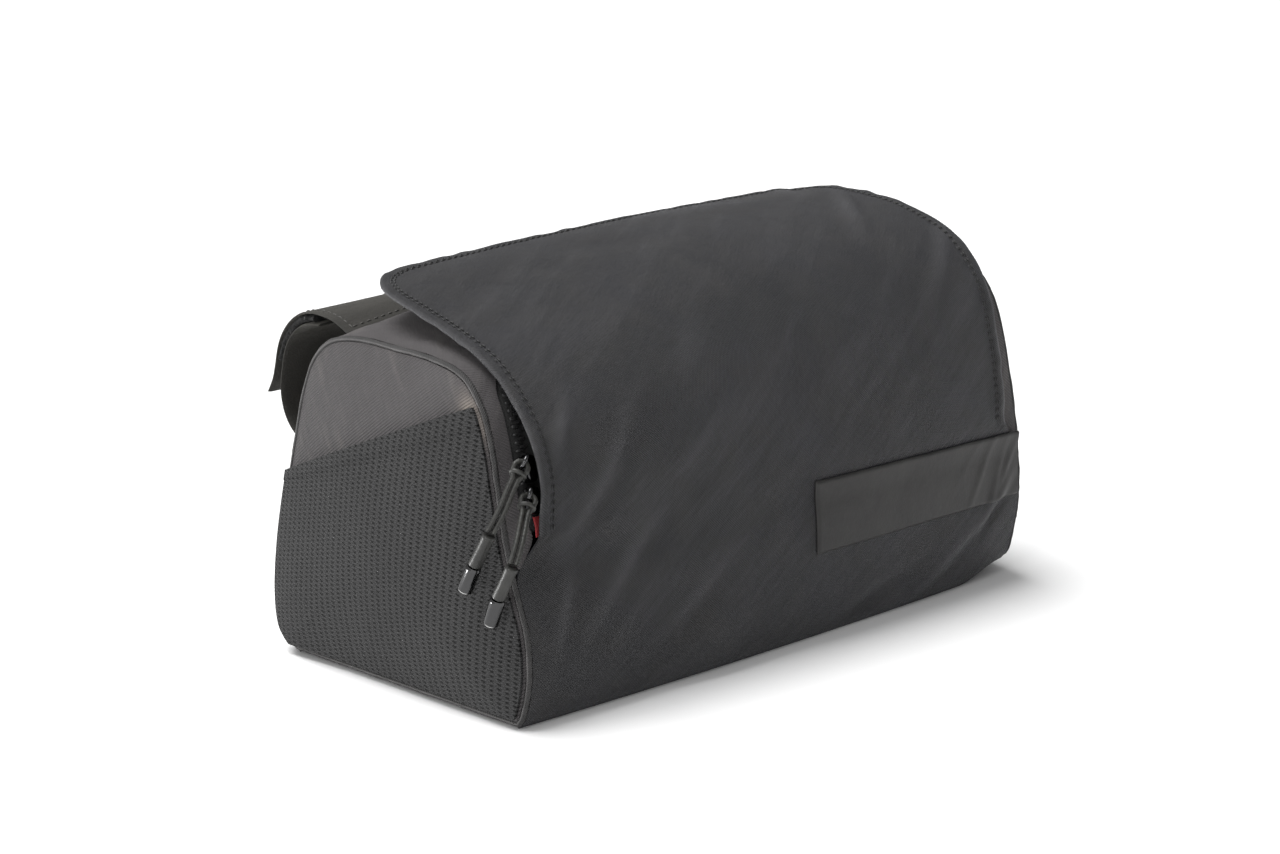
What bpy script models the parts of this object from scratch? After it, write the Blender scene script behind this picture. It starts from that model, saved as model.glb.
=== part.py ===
"""Bicycle handlebar bag in Blender, as an assembly of named cloth pieces.

Metres, +Z up.  X runs along the bag, the front faces -Y, the bar straps are at +Y,
and the base rests on Z = 0.  The body is lofted through three cross sections: the
left end, the middle and the right end, which stands fuller than the left one.
"""
import math

import bmesh
import bpy
from mathutils import Vector

# Body
BASE_LENGTH = 0.233
TOP_LENGTH = 0.2155
BODY_DEPTH = 0.120
BODY_HEIGHT = 0.1085
END_BULGE = 0.0045
CLOTH = 0.0016
GAP = 0.0003

# Rolled seam round each end
SEAM_RADIUS = 0.0015
SEAM_INSET = 0.0010

# Flap
FLAP_BASE_INSET = 0.0140
FLAP_TOP_INSET = 0.00525
FLAP_CORNER_RADIUS = 0.020
FLAP_TAPERS = (0.004, -0.001)
FLAP_STANDOFF = 0.010

# Zip
ZIP_GUSSET = 0.0040
ZIP_CORNER_RADIUS = 0.024
ZIP_TAPE_WIDTH = 0.012
ZIP_TAPE = 0.0009
ZIP_TAPE_DEPTH = 0.0007
TEETH_WIDTH = 0.0038
TEETH_INSET = 0.0010
TEETH_HEIGHT = 0.0012
TEETH_EDGE = 0.7 * TEETH_HEIGHT
TAB_LENGTH = 0.0065
TAB_RISE = 0.0039
TAB_WIDTH = 0.0030
TAB = 0.0008
SLIDER_LENGTH = 0.0085
SLIDER_WIDTH = 0.0058
SLIDER_HEIGHT = 0.0026

# Cord pulls
CORD_DIAMETER = 0.0021
EYE_TURN = 0.0021
EYE_RADIUS = 0.0021
EYE_WIRE = 0.0006
TONGUE_WIDTH = 0.0016
TONGUE_HEIGHT = 0.0011
SLEEVE_CLEARANCE = 0.0008
SLEEVE_DIAMETER = 0.0046
SLEEVE_LENGTH = 0.0115
CAP_DIAMETER = 0.0048
CAP_LENGTH = 0.0085
CAP_ROUNDING = 0.3

# Mesh pockets
MESH = 0.0012
MESH_BULGE = 0.0035
MESH_BACK_SWELL = 0.0014
MESH_FRONT_SHARE = 0.875
MESH_BACK_SHARE = 0.55
MESH_INSET = 0.0003
MESH_LIFT = 0.0006

# Rubber band on the front
BAND_LEFT = 0.007
BAND_WIDTH = 0.024
BAND = 0.0008

# Bar straps
STRAP_WIDTH = 0.038
STRAP_INSET = 0.007
STRAP = 0.0014
HOOK = 0.0009
STRAP_REACH = 0.0375

LEFT, MIDDLE, RIGHT = range(3)

# Sections: shares of BODY_DEPTH and BODY_HEIGHT, round from the front foot to the back foot.
# name, left depth, left height, middle depth, middle height, right depth, right height
SECTION_ROWS = (
    ("front_foot", -0.450, 0.000, -0.458, 0.000, -0.420, 0.000),
    ("front_heel", -0.479, 0.040, -0.485, 0.040, -0.450, 0.044),
    ("front_low", -0.494, 0.157, -0.508, 0.157, -0.470, 0.157),
    ("front_band", -0.475, 0.276, -0.513, 0.286, -0.479, 0.276),
    ("gusset_tip", -0.421, 0.406, -0.504, 0.424, -0.479, 0.406),
    ("flap_root", -0.379, 0.525, -0.479, 0.553, -0.471, 0.535),
    ("arm_low", -0.346, 0.645, -0.454, 0.682, -0.454, 0.673),
    ("arm_high", -0.313, 0.765, -0.421, 0.811, -0.433, 0.802),
    ("corner", -0.267, 0.876, -0.363, 0.940, -0.388, 0.931),
    ("shoulder", -0.188, 0.954, -0.263, 1.046, -0.292, 1.032),
    ("top_front", -0.067, 0.982, -0.117, 1.101, -0.142, 1.088),
    ("top_middle", 0.075, 0.986, 0.058, 1.115, 0.033, 1.101),
    ("top_back", 0.217, 0.986, 0.217, 1.097, 0.200, 1.083),
    ("back_edge", 0.333, 0.959, 0.350, 1.032, 0.350, 1.023),
    ("back_turn", 0.404, 0.889, 0.413, 0.931, 0.417, 0.931),
    ("back_high", 0.442, 0.783, 0.438, 0.793, 0.438, 0.793),
    ("back_middle", 0.467, 0.636, 0.458, 0.636, 0.458, 0.636),
    ("back_low", 0.492, 0.479, 0.479, 0.479, 0.479, 0.479),
    ("back_swell", 0.508, 0.323, 0.496, 0.323, 0.496, 0.323),
    ("swell_low", 0.508, 0.175, 0.496, 0.175, 0.496, 0.175),
    ("back_heel", 0.483, 0.065, 0.475, 0.065, 0.475, 0.065),
    ("back_foot", 0.417, 0.000, 0.410, 0.000, 0.410, 0.000),
)
ROW = {row[0]: index for index, row in enumerate(SECTION_ROWS)}
LAST_ROW = len(SECTION_ROWS) - 1

# Places between two rows of the sections
ZIP_FOOT_ROW = ROW["gusset_tip"] + 0.3
ZIP_TOP_ROW = ROW["shoulder"] + 0.35
BAND_ROW = ROW["front_band"] + 0.77
BACK_SEAM_ROW = ROW["back_edge"] + 0.7
STRAP_SEAT_ROW = ROW["back_edge"] + 0.2
STRAP_FOOT_ROW = ROW["back_middle"] + 0.3
FLAP_END_ROW = ROW["top_back"] + 0.55

# Flap: how far its inside stands off the body, as shares of FLAP_STANDOFF.
# section row, left, middle, right
FLAP_ROWS = (
    ("front_foot", 0.00, 0.00, 0.00),
    ("front_heel", 0.00, 0.00, 0.00),
    ("front_low", 0.00, 0.00, 0.00),
    ("front_band", 0.00, 0.00, 0.00),
    ("gusset_tip", 0.00, 0.00, 0.00),
    ("flap_root", 0.30, 0.10, 0.10),
    ("arm_low", 0.92, 0.20, 0.18),
    ("arm_high", 0.88, 0.20, 0.18),
    ("corner", 0.40, 0.22, 0.30),
    ("shoulder", 0.22, 0.28, 0.45),
    ("top_front", 0.42, 0.35, 0.50),
    ("top_middle", 0.80, 0.45, 0.60),
    ("top_back", 1.20, 0.62, 0.70),
    ("back_edge", 1.60, 0.90, 0.95),
)

# Folds of the front and flap.  Place along X as a share of half of TOP_LENGTH, place up the
# front and over the top in section rows, length and width as shares of BODY_HEIGHT, turn
# from the X axis in degrees, and height as a share of FLAP_STANDOFF (dents are negative).
FOLD_ROWS = (
    (-0.59, 2.2, 0.42, 0.10, 38.0, -0.16),
    (-0.36, 1.7, 0.34, 0.09, 30.0, 0.14),
    (0.38, 1.6, 0.50, 0.08, 24.0, -0.14),
    (0.68, 2.0, 0.34, 0.09, 36.0, 0.14),
    (0.63, 8.2, 0.30, 0.12, 62.0, -0.15),
    (0.10, 10.6, 0.26, 0.09, 28.0, 0.13),
    (-0.19, 11.2, 0.30, 0.08, -24.0, -0.13),
    (-0.63, 11.0, 0.28, 0.09, 12.0, -0.14),
)

# Bar strap, seen from the side: shares of STRAP_REACH out, and of the way down from its
# seat on the top wall to its foot on the back wall.
STRAP_OUTER_ROWS = (
    (0.00, 0.00),
    (0.08, -0.03),
    (0.20, -0.055),
    (0.36, -0.04),
    (0.52, 0.00),
    (0.67, 0.06),
    (0.80, 0.15),
    (0.89, 0.25),
    (0.945, 0.36),
    (0.98, 0.48),
    (1.02, 0.59),
    (1.09, 0.70),
)
STRAP_RETURN_ROWS = (
    (0.925, 0.62),
    (0.915, 0.74),
    (0.86, 0.86),
    (0.75, 0.96),
    (0.60, 1.01),
)
STRAP_LAP = (0.30, 0.78)
HOOK_LAP = (0.40, 0.72)

# Zip sliders: rows above the flap's root
SLIDER_ROWS = {"upper": 1.42, "lower": 0.72}

# Cord pulls, as offsets from the slider's seat: from its eye down to the sleeve, and on to
# the sleeve's and cap's ends
PULL_ROUTES = {
    "upper": (
        (-0.0077, -0.0059, 0.0030),
        (-0.0119, -0.0067, -0.0013),
        (-0.0160, -0.0071, -0.0090),
        (-0.0195, -0.0051, -0.0150),
        (-0.0213, -0.0001, -0.0257),
        (-0.0219, 0.0035, -0.0335),
    ),
    "lower": (
        (-0.0074, -0.0068, 0.0029),
        (-0.0118, -0.0100, -0.0019),
        (-0.0158, -0.0132, -0.0071),
        (-0.0183, -0.0119, -0.0138),
        (-0.0200, -0.0074, -0.0243),
        (-0.0202, -0.0044, -0.0323),
    ),
}


def clear_scene():
    """Remove every object that the scene holds."""
    for item in list(bpy.data.objects):
        bpy.data.objects.remove(item, do_unlink=True)


def material(name, colour, roughness, metallic=0.0):
    """Make a Principled material."""
    made = bpy.data.materials.new(name)
    made.use_nodes = True
    shader = made.node_tree.nodes["Principled BSDF"]
    shader.inputs["Base Color"].default_value = (*colour, 1.0)
    shader.inputs["Roughness"].default_value = roughness
    shader.inputs["Metallic"].default_value = metallic
    return made


def add_object(name, mesh_data, look, sharp_degrees=50.0):
    """Link a mesh as a named object with smooth shading."""
    made = bpy.data.objects.new(name, mesh_data)
    bpy.context.scene.collection.objects.link(made)
    mesh_data.materials.append(look)
    mesh_data.shade_smooth()
    mesh_data.set_sharp_from_angle(angle=math.radians(sharp_degrees))
    return made


def mesh_from(name, points, faces):
    """Build a mesh and turn its faces outward."""
    data = bpy.data.meshes.new(name)
    data.from_pydata([tuple(point) for point in points], [], faces)
    shape = bmesh.new()
    shape.from_mesh(data)
    bmesh.ops.recalc_face_normals(shape, faces=shape.faces)
    shape.to_mesh(data)
    shape.free()
    return data


def mix(low, high, share):
    """Blend two numbers or vectors."""
    return low + (high - low) * share


def ease(value, low, high):
    """Rise smoothly from 0 at low to 1 at high."""
    share = min(max((value - low) / (high - low), 0.0), 1.0)
    return share * share * (3.0 - 2.0 * share)


def spline(values, place):
    """Read a smooth curve through a list, at a place counted in its rows."""
    place = min(max(place, 0.0), len(values) - 1.0)
    start = min(int(place), len(values) - 2)
    share = place - start
    before = values[max(start - 1, 0)]
    low = values[start]
    high = values[start + 1]
    after = values[min(start + 2, len(values) - 1)]
    leave = (high - before) * 0.5
    reach = (after - low) * 0.5
    bend = (high - low) * 3.0 - leave * 2.0 - reach
    twist = (low - high) * 2.0 + leave + reach
    return low + leave * share + bend * share ** 2 + twist * share ** 3


def across_three(left, middle, right, across):
    """Blend left, middle and right values smoothly at across, from -1 to 1."""
    return middle + (right - left) * 0.5 * across + ((right + left) * 0.5 - middle) * across * across


def section_column(side):
    """Give one section's points, with depth as x and height as y."""
    depth = 1 + 2 * side
    return [Vector((row[depth] * BODY_DEPTH, row[depth + 1] * BODY_HEIGHT)) for row in SECTION_ROWS]


SECTIONS = tuple(section_column(side) for side in (LEFT, MIDDLE, RIGHT))
SEAM_CLEARANCE = SEAM_RADIUS + GAP


def half_length(height):
    """Half of the distance between the two end seams, at a height."""
    return mix(BASE_LENGTH, TOP_LENGTH, height / BODY_HEIGHT) * 0.5


def top_reach():
    """Half length of the body wall at its top."""
    return half_length(BODY_HEIGHT) - SEAM_CLEARANCE


def wall(across, row):
    """Outer face of the body wall, from -1 at the left seam to 1 at the right one."""
    left, middle, right = (spline(section, row) for section in SECTIONS)
    place = across_three(left, middle, right, across)
    reach = half_length(place.y) - SEAM_CLEARANCE
    return Vector((across * reach, place.x, place.y))


def wall_normal(across, row):
    """Outward direction of the body wall."""
    step = 0.02
    along_x = wall(min(across + step, 1.0), row) - wall(max(across - step, -1.0), row)
    along_row = wall(across, min(row + step, LAST_ROW)) - wall(across, max(row - step, 0.0))
    return along_x.cross(along_row).normalized()


def girth_table(steps_per_row=8):
    """Lengths round the middle section, with the row that each belongs to."""
    rows = [index / steps_per_row for index in range(LAST_ROW * steps_per_row + 1)]
    lengths = [0.0]
    for low, high in zip(rows, rows[1:]):
        lengths.append(lengths[-1] + (wall(0.0, high) - wall(0.0, low)).length)
    return rows, lengths


GIRTH_ROWS, GIRTH_LENGTHS = girth_table()


def row_at(girth):
    """Section row at a length round the middle section."""
    for index in range(1, len(GIRTH_LENGTHS)):
        if GIRTH_LENGTHS[index] >= girth:
            low = GIRTH_LENGTHS[index - 1]
            share = (girth - low) / (GIRTH_LENGTHS[index] - low)
            return mix(GIRTH_ROWS[index - 1], GIRTH_ROWS[index], share)
    return float(LAST_ROW)


def girth_at(row):
    """Length round the middle section at a section row."""
    for index in range(1, len(GIRTH_ROWS)):
        if GIRTH_ROWS[index] >= row:
            share = (row - GIRTH_ROWS[index - 1]) / (GIRTH_ROWS[index] - GIRTH_ROWS[index - 1])
            return mix(GIRTH_LENGTHS[index - 1], GIRTH_LENGTHS[index], share)
    return GIRTH_LENGTHS[-1]


def grid_normals(grid):
    """Unit normals of a grid of points."""
    last_row = len(grid) - 1
    last_column = len(grid[0]) - 1
    normals = []
    for row in range(last_row + 1):
        line = []
        for column in range(last_column + 1):
            across = grid[row][min(column + 1, last_column)] - grid[row][max(column - 1, 0)]
            along = grid[min(row + 1, last_row)][column] - grid[max(row - 1, 0)][column]
            line.append(across.cross(along).normalized())
        normals.append(line)
    return normals


def sheet(name, grid, thickness, look, normals=None):
    """Close a grid of points into a cloth wall that thickens away from its normals."""
    normals = normals or grid_normals(grid)
    columns = len(grid[0])
    outer = [point for line in grid for point in line]
    inner = [
        point - normal * thickness
        for line, directions in zip(grid, normals)
        for point, normal in zip(line, directions)
    ]
    shift = len(outer)
    faces = []
    for row in range(len(grid) - 1):
        for column in range(columns - 1):
            corner = row * columns + column
            cell = (corner, corner + 1, corner + columns + 1, corner + columns)
            faces.append(cell)
            faces.append(tuple(index + shift for index in reversed(cell)))
    top = (len(grid) - 1) * columns
    rim = list(range(columns))
    rim += [row * columns + columns - 1 for row in range(1, len(grid))]
    rim += [top + column for column in reversed(range(columns - 1))]
    rim += [row * columns for row in reversed(range(1, len(grid) - 1))]
    for low, high in zip(rim, rim[1:] + rim[:1]):
        faces.append((low, low + shift, high + shift, high))
    return add_object(name, mesh_from(name, outer + inner, faces), look)


def spread(low, high, count):
    """Evenly spaced numbers from low to high."""
    return [mix(low, high, index / (count - 1)) for index in range(count)]


def wall_sheet(name, places, thickness, look):
    """Cloth wall through places on the body, each an (across, row) pair."""
    grid = [[wall(*place) for place in line] for line in places]
    normals = [[wall_normal(*place) for place in line] for line in places]
    sheet(name, grid, thickness, look, normals)


def lift_at(across, row):
    """How far the flap's inside stands off the body beyond the gap."""
    left, middle, right = (
        spline([line[side] for line in FLAP_ROWS], row) for side in (1, 2, 3)
    )
    return across_three(left, middle, right, across) * FLAP_STANDOFF


def fold_at(x_place, girth):
    """Height of the soft folds at a place on the flat front panel."""
    total = 0.0
    for place, row, length, width, turn, height in FOLD_ROWS:
        x_away = x_place - place * TOP_LENGTH * 0.5
        up_away = girth - girth_at(row)
        angle = math.radians(turn)
        along = x_away * math.cos(angle) + up_away * math.sin(angle)
        aside = up_away * math.cos(angle) - x_away * math.sin(angle)
        spot = (along / (length * BODY_HEIGHT * 0.5)) ** 2 + (aside / (width * BODY_HEIGHT)) ** 2
        total += height * math.exp(-spot)
    return total * FLAP_STANDOFF


def flap_freedom(row):
    """0 where the front is sewn to the ends, 1 where it is a loose flap."""
    return ease(row, ROW["gusset_tip"], ROW["flap_root"])


def front_point(across, row):
    """Outer face of the front panel and flap."""
    free = flap_freedom(row)
    place = wall(across, row)
    settled = ease(row, ROW["front_foot"], ROW["front_low"])
    fold = fold_at(place.x, girth_at(row)) * (1.0 - across * across) * settled
    lift = free * (GAP + CLOTH + lift_at(across, row)) + fold
    return place + wall_normal(across, row) * lift


def front_edge(row, end_girth, taper):
    """Half width of the front panel at a row, as a share of the wall."""
    height = wall(-1.0, row).z
    full = half_length(height) - SEAM_CLEARANCE
    inset = mix(FLAP_BASE_INSET, FLAP_TOP_INSET, height / BODY_HEIGHT)
    loose = half_length(height) - inset - taper * ease(row, ROW["shoulder"], FLAP_END_ROW)
    share = mix(1.0, loose / full, flap_freedom(row))
    left_over = end_girth - girth_at(row)
    if left_over < FLAP_CORNER_RADIUS:
        dip = FLAP_CORNER_RADIUS - left_over
        rounding = FLAP_CORNER_RADIUS - math.sqrt(max(FLAP_CORNER_RADIUS ** 2 - dip ** 2, 0.0))
        share -= rounding / full
    return share


def front_flap_panel(look):
    """Front wall that runs on over the top as a loose flap with round back corners."""
    end_girth = girth_at(FLAP_END_ROW)
    corner_rows = (0.48, 0.28, 0.12, 0.03, 0.0)
    rows = spread(0.0, FLAP_END_ROW - 0.75, 24) + [FLAP_END_ROW - away for away in corner_rows]
    grid = []
    for row in rows:
        left, right = (front_edge(row, end_girth, taper) for taper in FLAP_TAPERS)
        grid.append([front_point(share, row) for share in spread(-left, right, 23)])
    sheet("front_flap_panel", grid, CLOTH, look)


def zip_arm():
    """Distance from the middle to the zip's line where it runs beside an end."""
    return top_reach() - ZIP_GUSSET


def zip_line():
    """Left half of the zip's line on the flat body: (distance from the middle, girth)."""
    full = top_reach()
    top = girth_at(ZIP_TOP_ROW)
    end_girth = girth_at(FLAP_END_ROW)
    arm = zip_arm()
    points = []
    for row in spread(ZIP_FOOT_ROW, float(ROW["flap_root"]), 4):
        edge = full * front_edge(row, end_girth, 0.0)
        points.append(Vector((edge + 2.0 * GAP, girth_at(row))))
    bend = top - ZIP_CORNER_RADIUS
    points += [Vector((arm, girth)) for girth in spread(mix(points[-1].y, bend, 0.2), bend, 5)]
    for step in range(1, 9):
        angle = math.radians(90.0 * step / 8)
        points.append(Vector((
            arm - ZIP_CORNER_RADIUS * (1.0 - math.cos(angle)),
            bend + ZIP_CORNER_RADIUS * math.sin(angle),
        )))
    points += [Vector((distance, top)) for distance in spread(arm - ZIP_CORNER_RADIUS, 0.0, 7)[1:]]
    return points


def folded(place, side):
    """Body place, as across and row, of a flat place on one side."""
    full = top_reach()
    return side * place.x / full, row_at(place.y)


def on_wall(place, side, offset=0.0):
    """Point on the body for a flat place, at an offset outward."""
    across, row = folded(place, side)
    return wall(across, row) + wall_normal(across, row) * offset


def both_sides(line, builder):
    """Run a builder down the left half of a line and back up the right half."""
    left = [builder(index, -1.0) for index in range(len(line))]
    right = [builder(index, 1.0) for index in reversed(range(len(line) - 1))]
    return left + right


def top_gusset_panel(look):
    """Top wall under the flap, with an arm down each end to the zip's foot."""
    line = zip_line()
    full = top_reach()
    back = girth_at(BACK_SEAM_ROW)
    bend_start = 8
    bend_end = bend_start + 8
    outside = [Vector((full, point.y)) for point in line[:bend_start + 1]]
    outside += [Vector((full, girth)) for girth in spread(line[bend_start].y, back, 9)[1:]]
    top_run = line[bend_end:]
    outside += [Vector((full * point.x / top_run[0].x, back)) for point in top_run[1:]]

    def cross_line(index, side):
        inner = line[index]
        outer = outside[index]
        return [folded(mix(outer, inner, share), side) for share in spread(0.0, 1.0, 8)]

    wall_sheet("top_gusset_panel", both_sides(line, cross_line), CLOTH, look)


def tape_line():
    """Zip's line from the flap's root on, where its tape and chain begin."""
    return zip_line()[3:]


def inward_offset(line, index, distance):
    """Move a point of the zip's line towards the flap's middle."""
    low = line[max(index - 1, 0)]
    high = line[min(index + 1, len(line) - 1)]
    along = (high - low).normalized()
    if index == len(line) - 1:
        along = Vector((-1.0, 0.0))
    return line[index] + Vector((-abs(along.y), along.x)) * distance


def zip_place(index, side, distance, offset):
    """Point of the zip at a distance inside its line and an offset outward."""
    place = inward_offset(tape_line(), index, distance)
    return on_wall(Vector((max(place.x, 0.0), place.y)), side, offset)


def zip_tape(look):
    """Zip tape from the gusset's edge to the flap's inside."""
    distances = spread(GAP, ZIP_TAPE_WIDTH, 3)

    def cross_line(index, side):
        return [zip_place(index, side, distance, -ZIP_TAPE_DEPTH) for distance in distances]

    sheet("zip_tape", both_sides(tape_line(), cross_line), ZIP_TAPE, look)


def zip_teeth(look):
    """Closed zip chain along the tape's outer half."""
    start = GAP + TEETH_INSET
    base = GAP - ZIP_TAPE_DEPTH
    profile = (
        (start, base + TEETH_EDGE),
        (start + TEETH_WIDTH * 0.5, base + TEETH_HEIGHT),
        (start + TEETH_WIDTH, base + TEETH_EDGE),
    )

    def cross_line(index, side):
        return [zip_place(index, side, distance, rise) for distance, rise in profile]

    sheet("zip_teeth", both_sides(tape_line(), cross_line), TEETH_EDGE, look)


def end_outline(side, inset, count=64):
    """Points round one end, inside the section by an inset, with depth as x and height as y."""
    section = SECTIONS[side]
    total = 0.0
    dense = [spline(section, LAST_ROW * index / 400) for index in range(401)]
    closed = dense + [mix(dense[-1], dense[0], share) for share in spread(0.0, 1.0, 40)[1:-1]]
    lengths = [0.0]
    for low, high in zip(closed, closed[1:] + closed[:1]):
        total += (high - low).length
        lengths.append(total)
    points = []
    index = 0
    for step in range(count):
        target = total * step / count
        while lengths[index + 1] < target:
            index += 1
        points.append(closed[index % len(closed)])
    lowest = inset - SEAM_INSET + SEAM_CLEARANCE
    moved = []
    for index, point in enumerate(points):
        along = (points[(index + 1) % count] - points[index - 1]).normalized()
        place = point + Vector((along.y, -along.x)) * inset
        moved.append(Vector((place.x, max(place.y, lowest))))
    return moved


def end_middle(side):
    """Middle of an end, with depth as x and height as y."""
    points = end_outline(side, 0.0)
    return sum(points, Vector((0.0, 0.0))) / len(points)


def end_share(side, place, outline):
    """How far a place lies from the end's middle, as a share of the way to its outline."""
    middle = end_middle(side)
    ray = place - middle
    if ray.length < 1e-9:
        return 0.0
    best = 0.0
    for low, high in zip(outline, outline[1:] + outline[:1]):
        edge = high - low
        scale = ray.x * edge.y - ray.y * edge.x
        if abs(scale) < 1e-12:
            continue
        start = low - middle
        reach = (start.x * edge.y - start.y * edge.x) / scale
        share = (start.x * ray.y - start.y * ray.x) / scale
        if reach > 0.0 and -0.001 <= share <= 1.001:
            best = max(best, 1.0 / reach)
    return min(best, 1.0)


def end_face(side, place, share, offset):
    """Point on the domed end, at an offset outward along X."""
    sign = -1.0 if side == LEFT else 1.0
    reach = half_length(place.y) + END_BULGE * (1.0 - share ** 2.5) + offset
    return Vector((sign * reach, place.x, place.y))


def end_panel(name, side, look):
    """Domed end wall inside the rolled seam."""
    inset = SEAM_INSET + SEAM_CLEARANCE
    outline = end_outline(side, inset, 56)
    middle = end_middle(side)
    shares = (1.0, 0.86, 0.62, 0.34)
    points = []
    for offset in (CLOTH * 0.5, -CLOTH * 0.5):
        for share in shares:
            for place in outline:
                points.append(end_face(side, mix(middle, place, share), share, offset))
        points.append(end_face(side, middle, 0.0, offset))
    count = len(outline)
    layer = count * len(shares) + 1
    faces = []
    for shift in (0, layer):
        for ring in range(len(shares) - 1):
            for index in range(count):
                after = (index + 1) % count
                low = shift + ring * count
                faces.append((low + index, low + after, low + count + after, low + count + index))
        last = shift + (len(shares) - 1) * count
        for index in range(count):
            faces.append((last + index, last + (index + 1) % count, shift + layer - 1))
    for index in range(count):
        after = (index + 1) % count
        faces.append((index, after, after + layer, index + layer))
    add_object(name, mesh_from(name, points, faces), look)


def outline_cut(outline, height, front):
    """Depth at which an outline crosses a height, at its front or back."""
    found = []
    for low, high in zip(outline, outline[1:] + outline[:1]):
        if (low.y - height) * (high.y - height) <= 0.0 and abs(high.y - low.y) > 1e-9:
            found.append(mix(low.x, high.x, (height - low.y) / (high.y - low.y)))
    return min(found) if front else max(found)


def mesh_pocket(name, side, look):
    """Mesh layer over the lower end, up to its slanting top edge."""
    outline = end_outline(side, SEAM_INSET + SEAM_CLEARANCE, 120)
    low = min(point.y for point in outline) + MESH_LIFT
    front_top = MESH_FRONT_SHARE * BODY_HEIGHT
    back_top = MESH_BACK_SHARE * BODY_HEIGHT
    grid = []
    for share in (0.0, 0.04, 0.1, 0.18, 0.3, 0.44, 0.58, 0.72, 0.86, 1.0):
        front_height = mix(low, front_top, share)
        back_height = mix(low, back_top, share)
        front = Vector((outline_cut(outline, front_height, True) + MESH_INSET, front_height))
        back = Vector((outline_cut(outline, back_height, False) - MESH_INSET, back_height))
        line = []
        for along in spread(0.0, 1.0, 13):
            place = mix(front, back, along)
            spot = end_share(side, place, outline)
            room = GAP + CLOTH * 0.5 + MESH
            swell = MESH_BULGE * (1.0 - spot ** 2) + MESH_BACK_SWELL * ease(along, 0.7, 1.0)
            line.append(end_face(side, place, spot, room + swell))
        grid.append(line if side == LEFT else line[::-1])
    sheet(name, [line[::-1] for line in grid], MESH, look)


def ring_mesh(name, centres, radius, sides, axis):
    """Mesh of a closed tube along a closed line of points that turns about an axis."""
    count = len(centres)
    points = []
    for index, centre in enumerate(centres):
        along = (centres[(index + 1) % count] - centres[index - 1]).normalized()
        aside = along.cross(axis).normalized()
        out = aside.cross(along)
        for side in range(sides):
            angle = 2.0 * math.pi * side / sides
            points.append(centre + (aside * math.cos(angle) + out * math.sin(angle)) * radius)
    faces = []
    for index in range(count):
        for side in range(sides):
            low = index * sides
            high = (index + 1) % count * sides
            after = (side + 1) % sides
            faces.append((low + side, low + after, high + after, high + side))
    return mesh_from(name, points, faces)


def end_seam(name, side, look):
    """Rolled seam between the end and the walls."""
    sign = -1.0 if side == LEFT else 1.0
    outline = end_outline(side, SEAM_INSET, 60)
    centres = [Vector((sign * half_length(place.y), place.x, place.y)) for place in outline]
    ring = ring_mesh(name, centres, SEAM_RADIUS, 6, Vector((1.0, 0.0, 0.0)))
    add_object(name, ring, look)


def back_panel(look):
    """Back wall from the base's back edge up to the top panel."""
    start = row_at(girth_at(BACK_SEAM_ROW) + GAP)
    rows = spread(start, float(LAST_ROW), 17)
    places = [[(share, row) for share in spread(-1.0, 1.0, 9)] for row in rows]
    wall_sheet("back_panel", places, CLOTH, look)


def base_panel(look):
    """Flat base between the front foot and the back foot."""
    reach = half_length(0.0) - SEAM_CLEARANCE
    margin = CLOTH + GAP
    grid = []
    for share in spread(0.0, 1.0, 2):
        line = []
        for across in spread(-1.0, 1.0, 13):
            front = wall(across, 0.0).y + margin
            back = wall(across, float(LAST_ROW)).y - margin
            line.append(Vector((across * reach, mix(back, front, share), 0.0)))
        grid.append(line)
    sheet("base_panel", grid, CLOTH, look)


def zip_end_tab(look):
    """Small tab sewn on the gusset beside the zip's lower end."""
    inner = zip_arm()
    middle = girth_at(ROW["flap_root"]) + TAB_RISE
    grid = []
    for girth in spread(middle - TAB_LENGTH * 0.5, middle + TAB_LENGTH * 0.5, 3):
        places = spread(inner + TAB_WIDTH, inner, 2)
        grid.append([on_wall(Vector((place, girth)), -1.0, GAP + TAB) for place in places])
    sheet("zip_end_tab", grid, TAB, look)


def side_band(look):
    """Rubber band on the front, out to the right end seam."""
    full = top_reach()
    middle = girth_at(BAND_ROW)
    start = BAND_LEFT / full
    grid = []
    for girth in spread(middle - BAND_WIDTH * 0.5, middle + BAND_WIDTH * 0.5, 6):
        row = row_at(girth)
        line = []
        for across in spread(start, 1.0 - GAP / full, 16):
            outward = wall_normal(across, row) * (GAP + BAND)
            line.append(front_point(across, row) + outward)
        grid.append(line)
    sheet("side_band", grid, BAND, look)


def path_frames(path):
    """Normals of a path in the YZ plane, pointing out of its bend."""
    frames = []
    for index in range(len(path)):
        along = path[min(index + 1, len(path) - 1)] - path[max(index - 1, 0)]
        along.normalize()
        frames.append(Vector((-along.y, along.x)))
    return frames


def strap_sheet(name, path, centre, thickness, look):
    """Flat webbing of the strap's width along a path in the YZ plane."""
    frames = path_frames(path)
    grid = []
    for place, normal in zip(path, frames):
        outer = place + normal * thickness * 0.5
        grid.append([
            Vector((centre + STRAP_WIDTH * share, outer.x, outer.y))
            for share in spread(-0.5, 0.5, 3)
        ])
    sheet(name, grid, thickness, look)


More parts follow.
